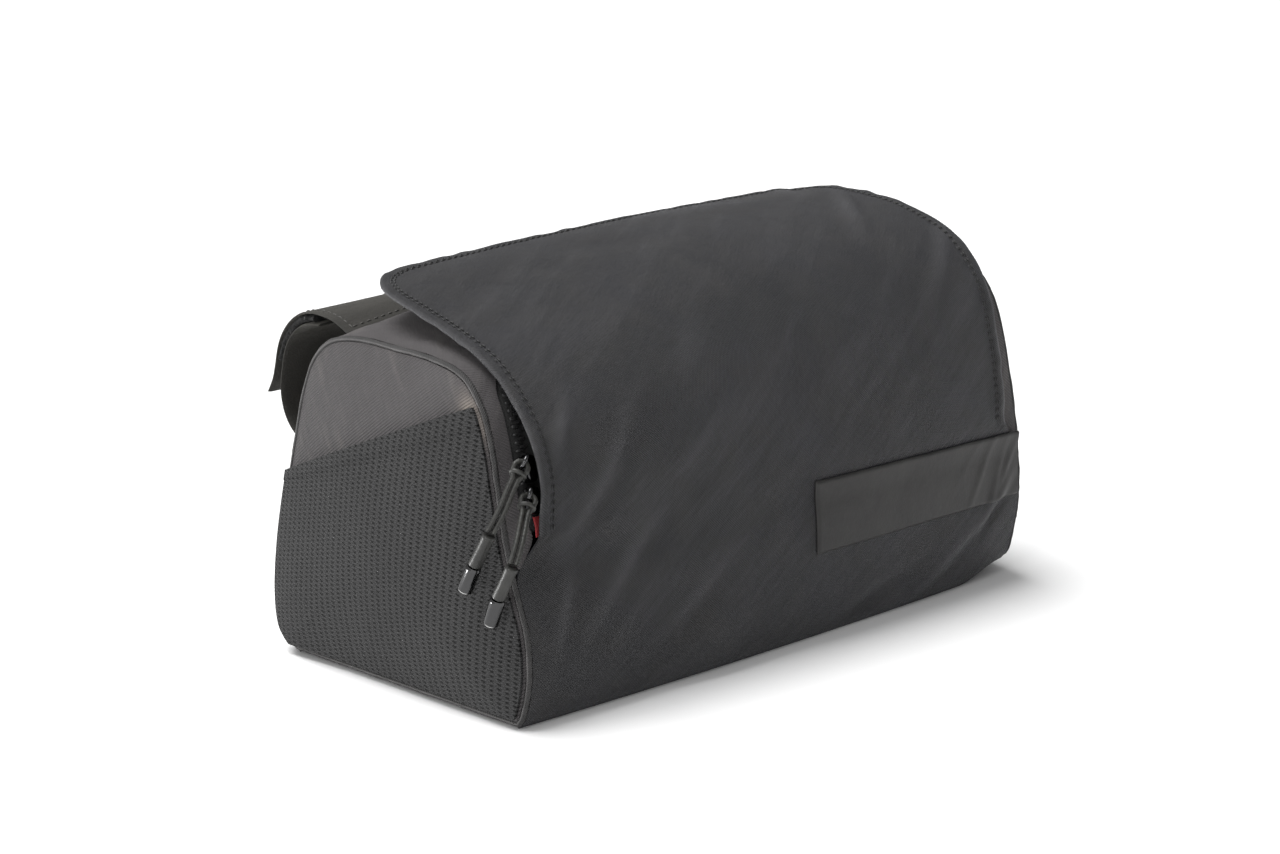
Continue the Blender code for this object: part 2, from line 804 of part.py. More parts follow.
def strap_pieces(label, side_sign, strap_look, hook_look):
    """Bar strap: outer strap, hook pad and the inner strap that returns to the back panel."""
    full = top_reach()
    centre = side_sign * (full - STRAP_INSET - STRAP_WIDTH * 0.5)
    inner_edge = (centre - side_sign * STRAP_WIDTH * 0.5) / full
    outer_edge = (centre + side_sign * STRAP_WIDTH * 0.5) / full
    seats = [wall(across, STRAP_SEAT_ROW) for across in (inner_edge, centre / full, outer_edge)]
    seat = max(seats, key=lambda point: point.z)
    clear = GAP + STRAP * 0.5
    top = Vector((seat.y, seat.z + clear))
    foot = wall(centre / full, STRAP_FOOT_ROW)
    drop = top.y - foot.z

    def placed(rows):
        return [
            Vector((top.x + reach * STRAP_REACH, top.y - fall * drop))
            for reach, fall in rows
        ]

    rows = placed(STRAP_OUTER_ROWS)
    last = len(rows) - 1
    outer = [spline(rows, place) for place in spread(0.0, last, 20)]
    strap_sheet("strap_outer_" + label, outer, centre, STRAP, strap_look)

    def lapped(lap, count, depth):
        places = spread(lap[0] * last, lap[1] * last, count)
        dense = [spline(rows, place) for place in places]
        return [place - normal * depth for place, normal in zip(dense, path_frames(dense))]

    hook_depth = (STRAP + HOOK) * 0.5 + GAP
    strap_sheet("strap_hook_" + label, lapped(HOOK_LAP, 8, hook_depth), centre, HOOK, hook_look)
    inner_depth = STRAP + HOOK + 2.0 * GAP
    inner_rows = lapped(STRAP_LAP, 9, inner_depth) + placed(STRAP_RETURN_ROWS)
    inner_rows.append(Vector((foot.y + clear, foot.z)))
    places = spread(0.0, len(inner_rows) - 1, 26)
    inner = [spline(inner_rows, place) for place in places]
    strap_sheet("strap_inner_" + label, inner, centre, STRAP, strap_look)


def cylinder_between(name, start, end, radius, sides, round_end, look):
    """Cylinder from start to end, with its far rim rounded by a share of the radius."""
    along = (end - start).normalized()
    aside = along.cross(Vector((0.0, 1.0, 0.0))).normalized()
    out = aside.cross(along)
    length = (end - start).length
    profile = [(0.0, 1.0)]
    if round_end > 0.0:
        for step in range(3):
            angle = math.radians(45.0 * step)
            inset = radius * round_end
            profile.append((
                length - inset * (1.0 - math.sin(angle)),
                1.0 - round_end * (1.0 - math.cos(angle)),
            ))
    else:
        profile.append((length, 1.0))
    points = []
    for reach, scale in profile:
        for side in range(sides):
            angle = 2.0 * math.pi * side / sides
            spoke = aside * math.cos(angle) + out * math.sin(angle)
            points.append(start + along * reach + spoke * radius * scale)
    faces = [tuple(range(sides))]
    for ring in range(len(profile) - 1):
        for side in range(sides):
            after = (side + 1) % sides
            low = ring * sides
            faces.append((low + side, low + after, low + sides + after, low + sides + side))
    faces.append(tuple((len(profile) - 1) * sides + side for side in range(sides)))
    add_object(name, mesh_from(name, points, faces), look, 35.0)


def pull_directions(route):
    """Directions of a pull at its slider: between the two legs, and up past the turn."""
    aside = (route[3] - route[0]).cross(Vector((-1.0, -1.0, 0.0))).normalized()
    rise = (route[0] - route[1]).normalized()
    return aside, rise


def frame_block(name, corner_points):
    """Mesh of a six-sided block from its eight corners, lower four first."""
    faces = [(0, 1, 2, 3), (4, 5, 6, 7), (0, 1, 5, 4), (1, 2, 6, 5), (2, 3, 7, 6), (3, 0, 4, 7)]
    return mesh_from(name, corner_points, faces)


def block_between(start, end, aside, width, height):
    """Corners of a bar from start to end."""
    along = (end - start).normalized()
    wide = (aside - along * aside.dot(along)).normalized() * width * 0.5
    tall = along.cross(wide).normalized() * height * 0.5
    ring = (wide + tall, wide - tall, -wide - tall, -wide + tall)
    return [start + corner for corner in ring] + [end + corner for corner in ring]


def slider_seat(label):
    """Seat of a slider on the zip, with the directions out of the wall, up the zip and outboard."""
    inward = GAP + TEETH_INSET + TEETH_WIDTH * 0.5
    place = Vector((zip_arm() - inward, girth_at(ROW["flap_root"] + SLIDER_ROWS[label])))
    across, row = folded(place, -1.0)
    out = wall_normal(across, row)
    along = (wall(across, row + 0.05) - wall(across, row - 0.05)).normalized()
    outboard = (wall(across, row) - wall(across + 0.02, row)).normalized()
    return wall(across, row) + out * (2.0 * GAP + TEETH_HEIGHT), out, along, outboard


def zip_slider(name, seat_frame, route, look):
    """Slider body on the zip with a tongue and the eye that the cord goes through."""
    seat, out, along, outboard = seat_frame
    body = block_between(
        seat + out * SLIDER_HEIGHT * 0.5 - along * SLIDER_LENGTH * 0.5,
        seat + out * SLIDER_HEIGHT * 0.5 + along * SLIDER_LENGTH * 0.5,
        along.cross(out), SLIDER_WIDTH, SLIDER_HEIGHT,
    )
    aside, rise = pull_directions(route)
    apex = route[0] + rise * EYE_TURN
    made = add_object(name, frame_block(name, body), look, 35.0)
    tongue_start = seat + (out * SLIDER_HEIGHT + outboard * SLIDER_WIDTH * 0.8) * 0.5
    towards = tongue_start - apex
    in_ring = (towards - aside * aside.dot(towards)).normalized()
    tongue_end = apex + in_ring * EYE_RADIUS
    tongue = block_between(tongue_start, tongue_end, aside, TONGUE_WIDTH, TONGUE_HEIGHT)
    centres = []
    other = aside.cross(rise)
    for step in range(16):
        angle = 2.0 * math.pi * step / 16
        centres.append(apex + (rise * math.cos(angle) + other * math.sin(angle)) * EYE_RADIUS)
    parts = [frame_block("tongue", tongue), ring_mesh("eye", centres, EYE_WIRE, 6, aside)]
    for part_mesh in parts:
        helper = bpy.data.objects.new("union_helper", part_mesh)
        bpy.context.scene.collection.objects.link(helper)
        union = made.modifiers.new("union", "BOOLEAN")
        union.operation = "UNION"
        union.object = helper
        helper.hide_render = True
        helper.display_type = "WIRE"


def cord_loop(name, route, look):
    """Doubled cord from the sleeve up round the slider's eye and back."""
    close = CORD_DIAMETER * 0.5 + GAP
    dense = [spline(route[:4], place) for place in spread(0.0, 3.0, 12)]
    aside, rise = pull_directions(route)
    spacing = [mix(EYE_TURN, close, ease(index, 0.0, 6.0)) for index in range(len(dense))]
    left = [place + aside * half for place, half in zip(dense, spacing)]
    right = [place - aside * half for place, half in zip(dense, spacing)]
    turn = []
    for step in range(1, 6):
        angle = math.radians(180.0 * step / 6)
        turn.append(route[0] + (aside * math.cos(angle) + rise * math.sin(angle)) * EYE_TURN)
    points = left[::-1] + turn + right
    curve = bpy.data.curves.new(name, "CURVE")
    curve.dimensions = "3D"
    curve.bevel_depth = CORD_DIAMETER * 0.5
    curve.bevel_resolution = 1
    curve.use_fill_caps = True
    line = curve.splines.new("POLY")
    line.points.add(len(points) - 1)
    for target, place in zip(line.points, points):
        target.co = (*place, 1.0)
    curve.materials.append(look)
    made = bpy.data.objects.new(name, curve)
    bpy.context.scene.collection.objects.link(made)


def zip_pull(label, looks):
    """Cord, sleeve and cap of one zip pull."""
    seat_frame = slider_seat(label)
    route = [seat_frame[0] + Vector(offset) for offset in PULL_ROUTES[label]]
    zip_slider("zip_slider_" + label, seat_frame, route, looks["metal"])
    cord_loop("zip_cord_" + label, route, looks["cord"])
    start = route[3]
    along = (route[4] - start).normalized()
    sleeve_start = start + along * SLEEVE_CLEARANCE
    sleeve_end = sleeve_start + along * SLEEVE_LENGTH
    cap_along = (route[5] - route[4]).normalized()
    cap_start = sleeve_end + cap_along * SLEEVE_CLEARANCE
    cap_end = cap_start + cap_along * CAP_LENGTH
    cylinder_between("zip_sleeve_" + label, sleeve_start, sleeve_end,
                     SLEEVE_DIAMETER * 0.5, 12, 0.0, looks["sleeve"])
    cylinder_between("zip_cap_" + label, cap_start, cap_end,
                     CAP_DIAMETER * 0.5, 12, CAP_ROUNDING, looks["metal"])


def main():
    """Build the whole bag."""
    clear_scene()
    looks = {
        "front": material("front_cloth", (0.048, 0.048, 0.052), 0.75),
        "body": material("body_cloth", (0.105, 0.100, 0.098), 0.80),
        "mesh": material("pocket_mesh", (0.040, 0.040, 0.040), 0.85),
        "seam": material("seam_binding", (0.060, 0.057, 0.054), 0.80),
        "tape": material("zip_tape_cloth", (0.020, 0.020, 0.021), 0.80),
        "tab": material("end_tab_cloth", (0.55, 0.03, 0.04), 0.70),
        "teeth": material("zip_teeth_nylon", (0.025, 0.025, 0.026), 0.45),
        "band": material("band_rubber", (0.052, 0.052, 0.050), 0.55),
        "strap": material("strap_cloth", (0.036, 0.034, 0.030), 0.85),
        "hook": material("strap_hook_pile", (0.010, 0.010, 0.010), 0.95),
        "cord": material("pull_cord", (0.045, 0.046, 0.042), 0.70),
        "sleeve": material("pull_sleeve", (0.050, 0.052, 0.045), 0.55),
        "metal": material("pull_metal", (0.200, 0.200, 0.205), 0.18, 1.0),
    }
    front_flap_panel(looks["front"])
    top_gusset_panel(looks["body"])
    back_panel(looks["body"])
    base_panel(looks["body"])
    for label, side, sign in (("left", LEFT, -1.0), ("right", RIGHT, 1.0)):
        end_panel("end_panel_" + label, side, looks["body"])
        mesh_pocket("mesh_pocket_" + label, side, looks["mesh"])
        end_seam("end_seam_" + label, side, looks["seam"])
        strap_pieces(label, sign, looks["strap"], looks["hook"])
    zip_tape(looks["tape"])
    zip_teeth(looks["teeth"])
    zip_end_tab(looks["tab"])
    side_band(looks["band"])
    for label in PULL_ROUTES:
        zip_pull(label, looks)


main()
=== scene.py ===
"""Looks of the bicycle handlebar bag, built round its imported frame.

Metres, +Z up, in the frame's own axes: the front faces -Y and the zip pulls are at -X.
The cloth pieces follow the same sections as the solids, with folds, hems and stitches added.
"""
import math

import bmesh
import bpy
import numpy as np
from mathutils import Matrix, Vector

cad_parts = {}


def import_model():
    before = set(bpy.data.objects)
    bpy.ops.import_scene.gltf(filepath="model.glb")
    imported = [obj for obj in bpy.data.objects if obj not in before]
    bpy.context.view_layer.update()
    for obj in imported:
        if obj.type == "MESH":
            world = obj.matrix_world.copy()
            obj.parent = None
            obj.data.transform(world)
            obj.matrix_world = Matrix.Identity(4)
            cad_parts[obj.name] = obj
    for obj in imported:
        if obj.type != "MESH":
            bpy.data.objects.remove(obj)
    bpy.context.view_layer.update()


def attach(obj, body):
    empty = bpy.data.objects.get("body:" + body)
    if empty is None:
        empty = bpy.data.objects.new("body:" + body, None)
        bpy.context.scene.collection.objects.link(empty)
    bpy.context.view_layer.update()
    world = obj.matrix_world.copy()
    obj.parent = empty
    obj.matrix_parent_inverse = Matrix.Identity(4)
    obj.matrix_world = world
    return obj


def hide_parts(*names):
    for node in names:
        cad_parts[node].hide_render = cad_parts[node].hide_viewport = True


# Sizes of the solids
BASE_LENGTH = 0.233
TOP_LENGTH = 0.2155
BODY_DEPTH = 0.120
BODY_HEIGHT = 0.1085
END_BULGE = 0.0045
CLOTH = 0.0016
GAP = 0.0003
SEAM_RADIUS = 0.0015
SEAM_INSET = 0.0010
FLAP_BASE_INSET = 0.0140
FLAP_TOP_INSET = 0.00525
FLAP_CORNER_RADIUS = 0.020
FLAP_TAPERS = (0.004, -0.001)
FLAP_STANDOFF = 0.010
ZIP_GUSSET = 0.0040
ZIP_CORNER_RADIUS = 0.024
ZIP_TAPE_WIDTH = 0.012
ZIP_TAPE = 0.0009
ZIP_TAPE_DEPTH = 0.0007
TEETH_WIDTH = 0.0038
TEETH_INSET = 0.0010
TEETH_HEIGHT = 0.0012
TAB_LENGTH = 0.0065
TAB_RISE = 0.0039
TAB_WIDTH = 0.0030
TAB = 0.0008
SLIDER_LENGTH = 0.0085
SLIDER_WIDTH = 0.0058
SLIDER_HEIGHT = 0.0026
EYE_TURN = 0.0021
EYE_RADIUS = 0.0021
EYE_WIRE = 0.0006
SLEEVE_CLEARANCE = 0.0008
SLEEVE_DIAMETER = 0.0046
SLEEVE_LENGTH = 0.0115
CAP_DIAMETER = 0.0048
CAP_LENGTH = 0.0085
MESH = 0.0012
MESH_BULGE = 0.0035
MESH_BACK_SWELL = 0.0014
MESH_FRONT_SHARE = 0.875
MESH_BACK_SHARE = 0.55
MESH_INSET = 0.0003
MESH_LIFT = 0.0006
BAND_LEFT = 0.007
BAND_WIDTH = 0.024
BAND = 0.0008
STRAP_WIDTH = 0.038
STRAP_INSET = 0.007
STRAP = 0.0014
HOOK = 0.0009
STRAP_REACH = 0.0375

# Camera, fitted to the photograph
IMAGE_WIDTH = 1280
FOCAL_PIXELS = 3600.0
CAMERA_TURN = 44.4
CAMERA_PITCH = 14.7
CAMERA_PLACE = (-0.8095, -0.8148, 0.3642)

LEFT, MIDDLE, RIGHT = range(3)

# name, left depth, left height, middle depth, middle height, right depth, right height
SECTION_ROWS = (
    ("front_foot", -0.450, 0.000, -0.458, 0.000, -0.420, 0.000),
    ("front_heel", -0.479, 0.040, -0.485, 0.040, -0.450, 0.044),
    ("front_low", -0.494, 0.157, -0.508, 0.157, -0.470, 0.157),
    ("front_band", -0.475, 0.276, -0.513, 0.286, -0.479, 0.276),
    ("gusset_tip", -0.421, 0.406, -0.504, 0.424, -0.479, 0.406),
    ("flap_root", -0.379, 0.525, -0.479, 0.553, -0.471, 0.535),
    ("arm_low", -0.346, 0.645, -0.454, 0.682, -0.454, 0.673),
    ("arm_high", -0.313, 0.765, -0.421, 0.811, -0.433, 0.802),
    ("corner", -0.267, 0.876, -0.363, 0.940, -0.388, 0.931),
    ("shoulder", -0.188, 0.954, -0.263, 1.046, -0.292, 1.032),
    ("top_front", -0.067, 0.982, -0.117, 1.101, -0.142, 1.088),
    ("top_middle", 0.075, 0.986, 0.058, 1.115, 0.033, 1.101),
    ("top_back", 0.217, 0.986, 0.217, 1.097, 0.200, 1.083),
    ("back_edge", 0.333, 0.959, 0.350, 1.032, 0.350, 1.023),
    ("back_turn", 0.404, 0.889, 0.413, 0.931, 0.417, 0.931),
    ("back_high", 0.442, 0.783, 0.438, 0.793, 0.438, 0.793),
    ("back_middle", 0.467, 0.636, 0.458, 0.636, 0.458, 0.636),
    ("back_low", 0.492, 0.479, 0.479, 0.479, 0.479, 0.479),
    ("back_swell", 0.508, 0.323, 0.496, 0.323, 0.496, 0.323),
    ("swell_low", 0.508, 0.175, 0.496, 0.175, 0.496, 0.175),
    ("back_heel", 0.483, 0.065, 0.475, 0.065, 0.475, 0.065),
    ("back_foot", 0.417, 0.000, 0.410, 0.000, 0.410, 0.000),
)
ROW = {row[0]: index for index, row in enumerate(SECTION_ROWS)}
LAST_ROW = len(SECTION_ROWS) - 1
SECTION_SHARES = np.array([row[1:] for row in SECTION_ROWS])
ZIP_FOOT_ROW = ROW["gusset_tip"] + 0.3
ZIP_TOP_ROW = ROW["shoulder"] + 0.35
BAND_ROW = ROW["front_band"] + 0.77
BACK_SEAM_ROW = ROW["back_edge"] + 0.7
STRAP_SEAT_ROW = ROW["back_edge"] + 0.2
STRAP_FOOT_ROW = ROW["back_middle"] + 0.3
FLAP_END_ROW = ROW["top_back"] + 0.55

# Flap's stand-off, as shares of FLAP_STANDOFF: left, middle, right, for the first rows
FLAP_LIFTS = np.array((
    (0.00, 0.00, 0.00),
    (0.00, 0.00, 0.00),
    (0.00, 0.00, 0.00),
    (0.00, 0.00, 0.00),
    (0.00, 0.00, 0.00),
    (0.30, 0.10, 0.10),
    (0.92, 0.20, 0.18),
    (0.88, 0.20, 0.18),
    (0.40, 0.22, 0.30),
    (0.22, 0.28, 0.45),
    (0.42, 0.35, 0.50),
    (0.80, 0.45, 0.60),
    (1.20, 0.62, 0.70),
    (1.60, 0.90, 0.95),
))

# Soft folds: place along X as a share of half of TOP_LENGTH, place in section rows, length
# and width as shares of BODY_HEIGHT, turn in degrees, height as a share of FLAP_STANDOFF
FOLD_ROWS = (
    (-0.59, 2.2, 0.42, 0.10, 38.0, -0.16),
    (-0.36, 1.7, 0.34, 0.09, 30.0, 0.14),
    (0.38, 1.6, 0.50, 0.08, 24.0, -0.14),
    (0.68, 2.0, 0.34, 0.09, 36.0, 0.14),
    (0.63, 8.2, 0.30, 0.12, 62.0, -0.15),
    (0.10, 10.6, 0.26, 0.09, 28.0, 0.13),
    (-0.19, 11.2, 0.30, 0.08, -24.0, -0.13),
    (-0.63, 11.0, 0.28, 0.09, 12.0, -0.14),
)

# Fine creases of the front and flap, in millimetres: x, girth, length, width, turn, height
CREASE_ROWS = (
    (-62.0, 236.0, 34.0, 2.6, 12.0, 0.42),
    (-40.0, 241.0, 28.0, 2.2, 20.0, 0.38),
    (-18.0, 239.0, 36.0, 2.4, 10.0, 0.45),
    (6.0, 243.0, 26.0, 2.0, 24.0, 0.36),
    (24.0, 238.0, 34.0, 2.6, 16.0, 0.40),
    (50.0, 242.0, 30.0, 2.4, 22.0, 0.36),
    (74.0, 238.0, 26.0, 2.2, 34.0, 0.34),
    (-80.0, 228.0, 24.0, 2.8, 4.0, 0.34),
    (-30.0, 222.0, 46.0, 4.0, 6.0, 0.30),
    (30.0, 220.0, 52.0, 4.4, 14.0, 0.30),
    (66.0, 216.0, 40.0, 4.0, 28.0, 0.30),
    (86.0, 186.0, 34.0, 3.4, 58.0, 0.30),
    (78.0, 150.0, 46.0, 4.0, 50.0, 0.26),
    (90.0, 120.0, 40.0, 3.4, 42.0, 0.26),
    (-92.0, 92.0, 26.0, 2.6, 58.0, 0.24),
    (-80.0, 74.0, 44.0, 3.0, 52.0, 0.28),
    (-72.0, 46.0, 50.0, 3.2, 44.0, 0.26),
    (-98.0, 38.0, 30.0, 2.6, 64.0, 0.24),
    (-46.0, 30.0, 44.0, 3.0, 36.0, 0.20),
    (80.0, 18.0, 44.0, 3.0, 34.0, 0.30),
    (98.0, 30.0, 26.0, 2.4, 52.0, 0.30),
    (40.0, 14.0, 40.0, 3.0, 18.0, 0.22),
)

CREASE_GAIN = 2.6

# Bar strap, seen from the side: shares of STRAP_REACH out and of its fall down
STRAP_OUTER_ROWS = (
    (0.00, 0.00),
    (0.08, -0.03),
    (0.20, -0.055),
    (0.36, -0.04),
    (0.52, 0.00),
    (0.67, 0.06),
    (0.80, 0.15),
    (0.89, 0.25),
    (0.945, 0.36),
    (0.98, 0.48),
    (1.02, 0.59),
    (1.09, 0.70),
)
STRAP_RETURN_ROWS = (
    (0.925, 0.62),
    (0.915, 0.74),
    (0.86, 0.86),
    (0.75, 0.96),
    (0.60, 1.01),
)
STRAP_LAP = (0.30, 0.78)
HOOK_LAP = (0.33, 0.78)

# Zip sliders, in rows above the flap's root, and their pulls as offsets from the slider's seat
SLIDER_ROWS = {"upper": 1.42, "lower": 0.72}
PULL_ROUTES = {
    "upper": (
        (-0.0077, -0.0059, 0.0030),
        (-0.0119, -0.0067, -0.0013),
        (-0.0160, -0.0071, -0.0090),
        (-0.0195, -0.0051, -0.0150),
        (-0.0213, -0.0001, -0.0257),
        (-0.0219, 0.0035, -0.0335),
    ),
    "lower": (
        (-0.0074, -0.0068, 0.0029),
        (-0.0118, -0.0100, -0.0019),
        (-0.0158, -0.0132, -0.0071),
        (-0.0183, -0.0119, -0.0138),
        (-0.0200, -0.0074, -0.0243),
        (-0.0202, -0.0044, -0.0323),
    ),
}

# End seam as seen: a thin roll with the walls drawn in to meet it
SEAM_ROLL = 0.0010
DRAWN_IN = 0.0100

# Cord pull as seen: two thin legs below a knot
LEG_RADIUS = 0.00084
LEG_SPACING = 0.00092
KNOT_REACH = 0.0022
KNOT_RADIUS = 0.00072

# Straps as seen: thin webbing, set apart by the hook pile
STRAP_FACE = 0.0008
STRAP_SHIFT = 0.0003

# Seams and threads
HEM_WIDTH = 0.0042
HEM_RISE = 0.00035
STITCH_ROWS = (0.0036, 0.0047)
STITCH_PITCH = 0.0026
STITCH_LENGTH = 0.0018
THREAD_RADIUS = 0.00030


# Maths

def mix(low, high, share):
    """Blend two values."""
    return low + (high - low) * share


def ease(value, low, high):
    """Rise smoothly from 0 at low to 1 at high."""
    share = np.clip((value - low) / (high - low), 0.0, 1.0)
    return share * share * (3.0 - 2.0 * share)


def spline(values, place):
    """Read a smooth curve through a list of values at places counted in its rows."""
    values = np.asarray(values, float)
    last = len(values) - 1
    place = np.clip(np.asarray(place, float), 0.0, last)
    start = np.minimum(place.astype(int), last - 1)
    share = place - start
    if values.ndim > 1:
        share = share[..., None]
    before = values[np.maximum(start - 1, 0)]
    low = values[start]
    high = values[start + 1]
    after = values[np.minimum(start + 2, last)]
    leave = (high - before) * 0.5
    reach = (after - low) * 0.5
    bend = (high - low) * 3.0 - leave * 2.0 - reach
    twist = (low - high) * 2.0 + leave + reach
    return low + leave * share + bend * share ** 2 + twist * share ** 3


def across_three(left, middle, right, across):
    """Blend left, middle and right values smoothly at across, from -1 to 1."""
    return middle + (right - left) * 0.5 * across + ((right + left) * 0.5 - middle) * across ** 2


def unit(vectors):
    """Vectors at length one."""
    lengths = np.linalg.norm(vectors, axis=-1, keepdims=True)
    return vectors / np.maximum(lengths, 1e-12)


def lattice_noise(u, v, size, seed):
    """Smooth noise from -1 to 1 over a plane, with lumps of a size."""
    table = np.random.default_rng(seed).uniform(-1.0, 1.0, (128, 128))
    u = np.asarray(u) / size
    v = np.asarray(v) / size
    low_u = np.floor(u).astype(int)
    low_v = np.floor(v).astype(int)
    share_u = ease(u - low_u, 0.0, 1.0)
    share_v = ease(v - low_v, 0.0, 1.0)
    corners = [table[(low_u + a) % 128, (low_v + b) % 128] for a in (0, 1) for b in (0, 1)]
    return mix(mix(corners[0], corners[1], share_v), mix(corners[2], corners[3], share_v), share_u)


# Body

SEAM_CLEARANCE = SEAM_RADIUS + GAP


def half_length(height):
    """Half of the distance between the two end seams, at a height."""
    return mix(BASE_LENGTH, TOP_LENGTH, height / BODY_HEIGHT) * 0.5


def top_reach():
    """Half length of the body wall at its top."""
    return half_length(BODY_HEIGHT) - SEAM_CLEARANCE


def section(side, row):
    """Depth and height of one section at a row."""
    shares = spline(SECTION_SHARES[:, 2 * side:2 * side + 2], row)
    return shares[..., 0] * BODY_DEPTH, shares[..., 1] * BODY_HEIGHT


def wall(across, row):
    """Outer face of the body wall, from -1 at the left seam to 1 at the right one."""
    across, row = np.broadcast_arrays(np.asarray(across, float), np.asarray(row, float))
    depths, heights = zip(*(section(side, row) for side in (LEFT, MIDDLE, RIGHT)))
    depth = across_three(*depths, across)
    height = across_three(*heights, across)
    reach = half_length(height) - SEAM_CLEARANCE
    return np.stack((across * reach, depth, height), axis=-1)


def wall_normal(across, row):
    """Outward direction of the body wall."""
    step = 0.02
    along_x = wall(np.minimum(across + step, 1.0), row) - wall(np.maximum(across - step, -1.0), row)
    along_row = wall(across, np.minimum(row + step, LAST_ROW)) - wall(across, np.maximum(row - step, 0.0))
    return unit(np.cross(along_x, along_row))


GIRTH_ROWS = np.linspace(0.0, LAST_ROW, 8 * LAST_ROW + 1)
GIRTH_STEPS = np.linalg.norm(np.diff(wall(0.0, GIRTH_ROWS), axis=0), axis=1)
GIRTH_LENGTHS = np.concatenate(((0.0,), np.cumsum(GIRTH_STEPS)))


def row_at(girth):
    """Section row at a length round the middle section."""
    return np.interp(girth, GIRTH_LENGTHS, GIRTH_ROWS)


def girth_at(row):
    """Length round the middle section at a section row."""
    return np.interp(row, GIRTH_ROWS, GIRTH_LENGTHS)


END_GIRTH = girth_at(FLAP_END_ROW)


def fold_at(x_place, girth):
    """Height of the soft folds that the solid has too."""
    total = 0.0
    for place, row, length, width, turn, height in FOLD_ROWS:
        total = total + height * FLAP_STANDOFF * bump(
            x_place - place * TOP_LENGTH * 0.5, girth - girth_at(row), length * BODY_HEIGHT * 0.5,
            width * BODY_HEIGHT, turn)
    return total


def bump(x_away, up_away, length, width, turn):
    """Smooth long bump of height 1."""
    angle = math.radians(turn)
    along = x_away * math.cos(angle) + up_away * math.sin(angle)
    aside = up_away * math.cos(angle) - x_away * math.sin(angle)
    return np.exp(-(along / length) ** 2 - (aside / width) ** 2)


def crease_at(x_place, girth):
    """Height of the fine creases: each a ridge with a furrow beside it."""
    total = 0.0
    for x, place, length, width, turn, height in np.array(CREASE_ROWS):
        angle = math.radians(turn)
        shift = width * 0.0017
        ridge = bump(x_place - x * 0.001, girth - place * 0.001,
                     length * 0.0005, width * 0.001, turn)
        furrow = bump(x_place - x * 0.001 - shift * math.sin(angle),
                      girth - place * 0.001 + shift * math.cos(angle),
                      length * 0.0005, width * 0.001, turn)
        total = total + height * CREASE_GAIN * 0.001 * (ridge - 0.8 * furrow)
    return total


def cloth_ripple(x_place, girth, seed, height=0.00022):
    """Small unevenness of a cloth wall."""
    broad = lattice_noise(x_place, girth, 0.026, seed)
    small = lattice_noise(x_place, girth, 0.009, seed + 1)
    return height * (broad + 0.35 * small)


def flap_freedom(row):
    """0 where the front is sewn to the ends, 1 where it is a loose flap."""
    return ease(row, ROW["gusset_tip"], ROW["flap_root"])


def front_point(across, row):
    """Outer face of the front panel and flap, as the solid has it."""
    free = flap_freedom(row)
    place = wall(across, row)
    settled = ease(row, ROW["front_foot"], ROW["front_low"])
    fold = fold_at(place[..., 0], girth_at(row)) * (1.0 - across * across) * settled
    lifts = [spline(FLAP_LIFTS[:, side], row) for side in (LEFT, MIDDLE, RIGHT)]
    lift = free * (GAP + CLOTH + across_three(*lifts, across) * FLAP_STANDOFF) + fold
    return place + wall_normal(across, row) * lift[..., None]


def front_edge(row, taper, corner=True):
    """Half width of the front panel at a row, as a share of the wall."""
    height = wall(-1.0, row)[..., 2]
    full = half_length(height) - SEAM_CLEARANCE
    inset = mix(FLAP_BASE_INSET, FLAP_TOP_INSET, height / BODY_HEIGHT)
    loose = half_length(height) - inset - taper * ease(row, ROW["shoulder"], FLAP_END_ROW)
    share = mix(1.0, loose / full, flap_freedom(row))
    if corner:
        dip = np.maximum(FLAP_CORNER_RADIUS - (END_GIRTH - girth_at(row)), 0.0)
        rounding = FLAP_CORNER_RADIUS - np.sqrt(np.maximum(FLAP_CORNER_RADIUS ** 2 - dip ** 2, 0.0))
        share = share - rounding / full
    return share


# Meshes

def smooth(made, degrees=60.0):
    """Shade a mesh smooth, but for its sharp edges."""
    made.data.shade_smooth()
    made.data.set_sharp_from_angle(angle=math.radians(degrees))
    return made


def add_mesh(name, points, faces, look, node=None, slot=None, flat=None, degrees=60.0, painted_highlight_and_wear=None):
    """Make a mesh piece that rides on the body, facing outward, with a flat place per vertex."""
    data = bpy.data.meshes.new(name)
    data.from_pydata(lifted_corner(np.asarray(points)).tolist(), [], faces)
    shape = bmesh.new()
    shape.from_mesh(data)
    bmesh.ops.recalc_face_normals(shape, faces=shape.faces)
    shape.to_mesh(data)
    shape.free()
    if flat is not None:
        layer = data.uv_layers.new(name="flat")
        corners = np.empty(len(data.loops), int)
        data.loops.foreach_get("vertex_index", corners)
        layer.data.foreach_set("uv", np.asarray(flat, np.float32)[corners].ravel())
    # Per-vertex painted highlight and wear, which the shaders turn into lighter colour
    if painted_highlight_and_wear is not None:
        layer = data.attributes.new("painted_highlight_and_wear", "FLOAT", "POINT")
        layer.data.foreach_set("value", np.asarray(painted_highlight_and_wear, np.float32).ravel())
    made = bpy.data.objects.new(name, data)
    bpy.context.scene.collection.objects.link(made)
    data.materials.append(look)
    smooth(made, degrees)
    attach(made, "root")
    if node:
        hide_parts(*([node] if isinstance(node, str) else node))
    return made


def lifted_corner(points):
    """Lift and draw in the base's right front corner, which stands off the floor."""
    x_place, depth, height = points.T
    share = ease(x_place, 0.088, 0.118) * ease(-depth, 0.020, 0.054) * (1.0 - ease(height, 0.004, 0.034))
    moved = points.copy()
    moved[:, 2] += 0.0050 * share
    moved[:, 0] -= 0.0022 * share
    return moved


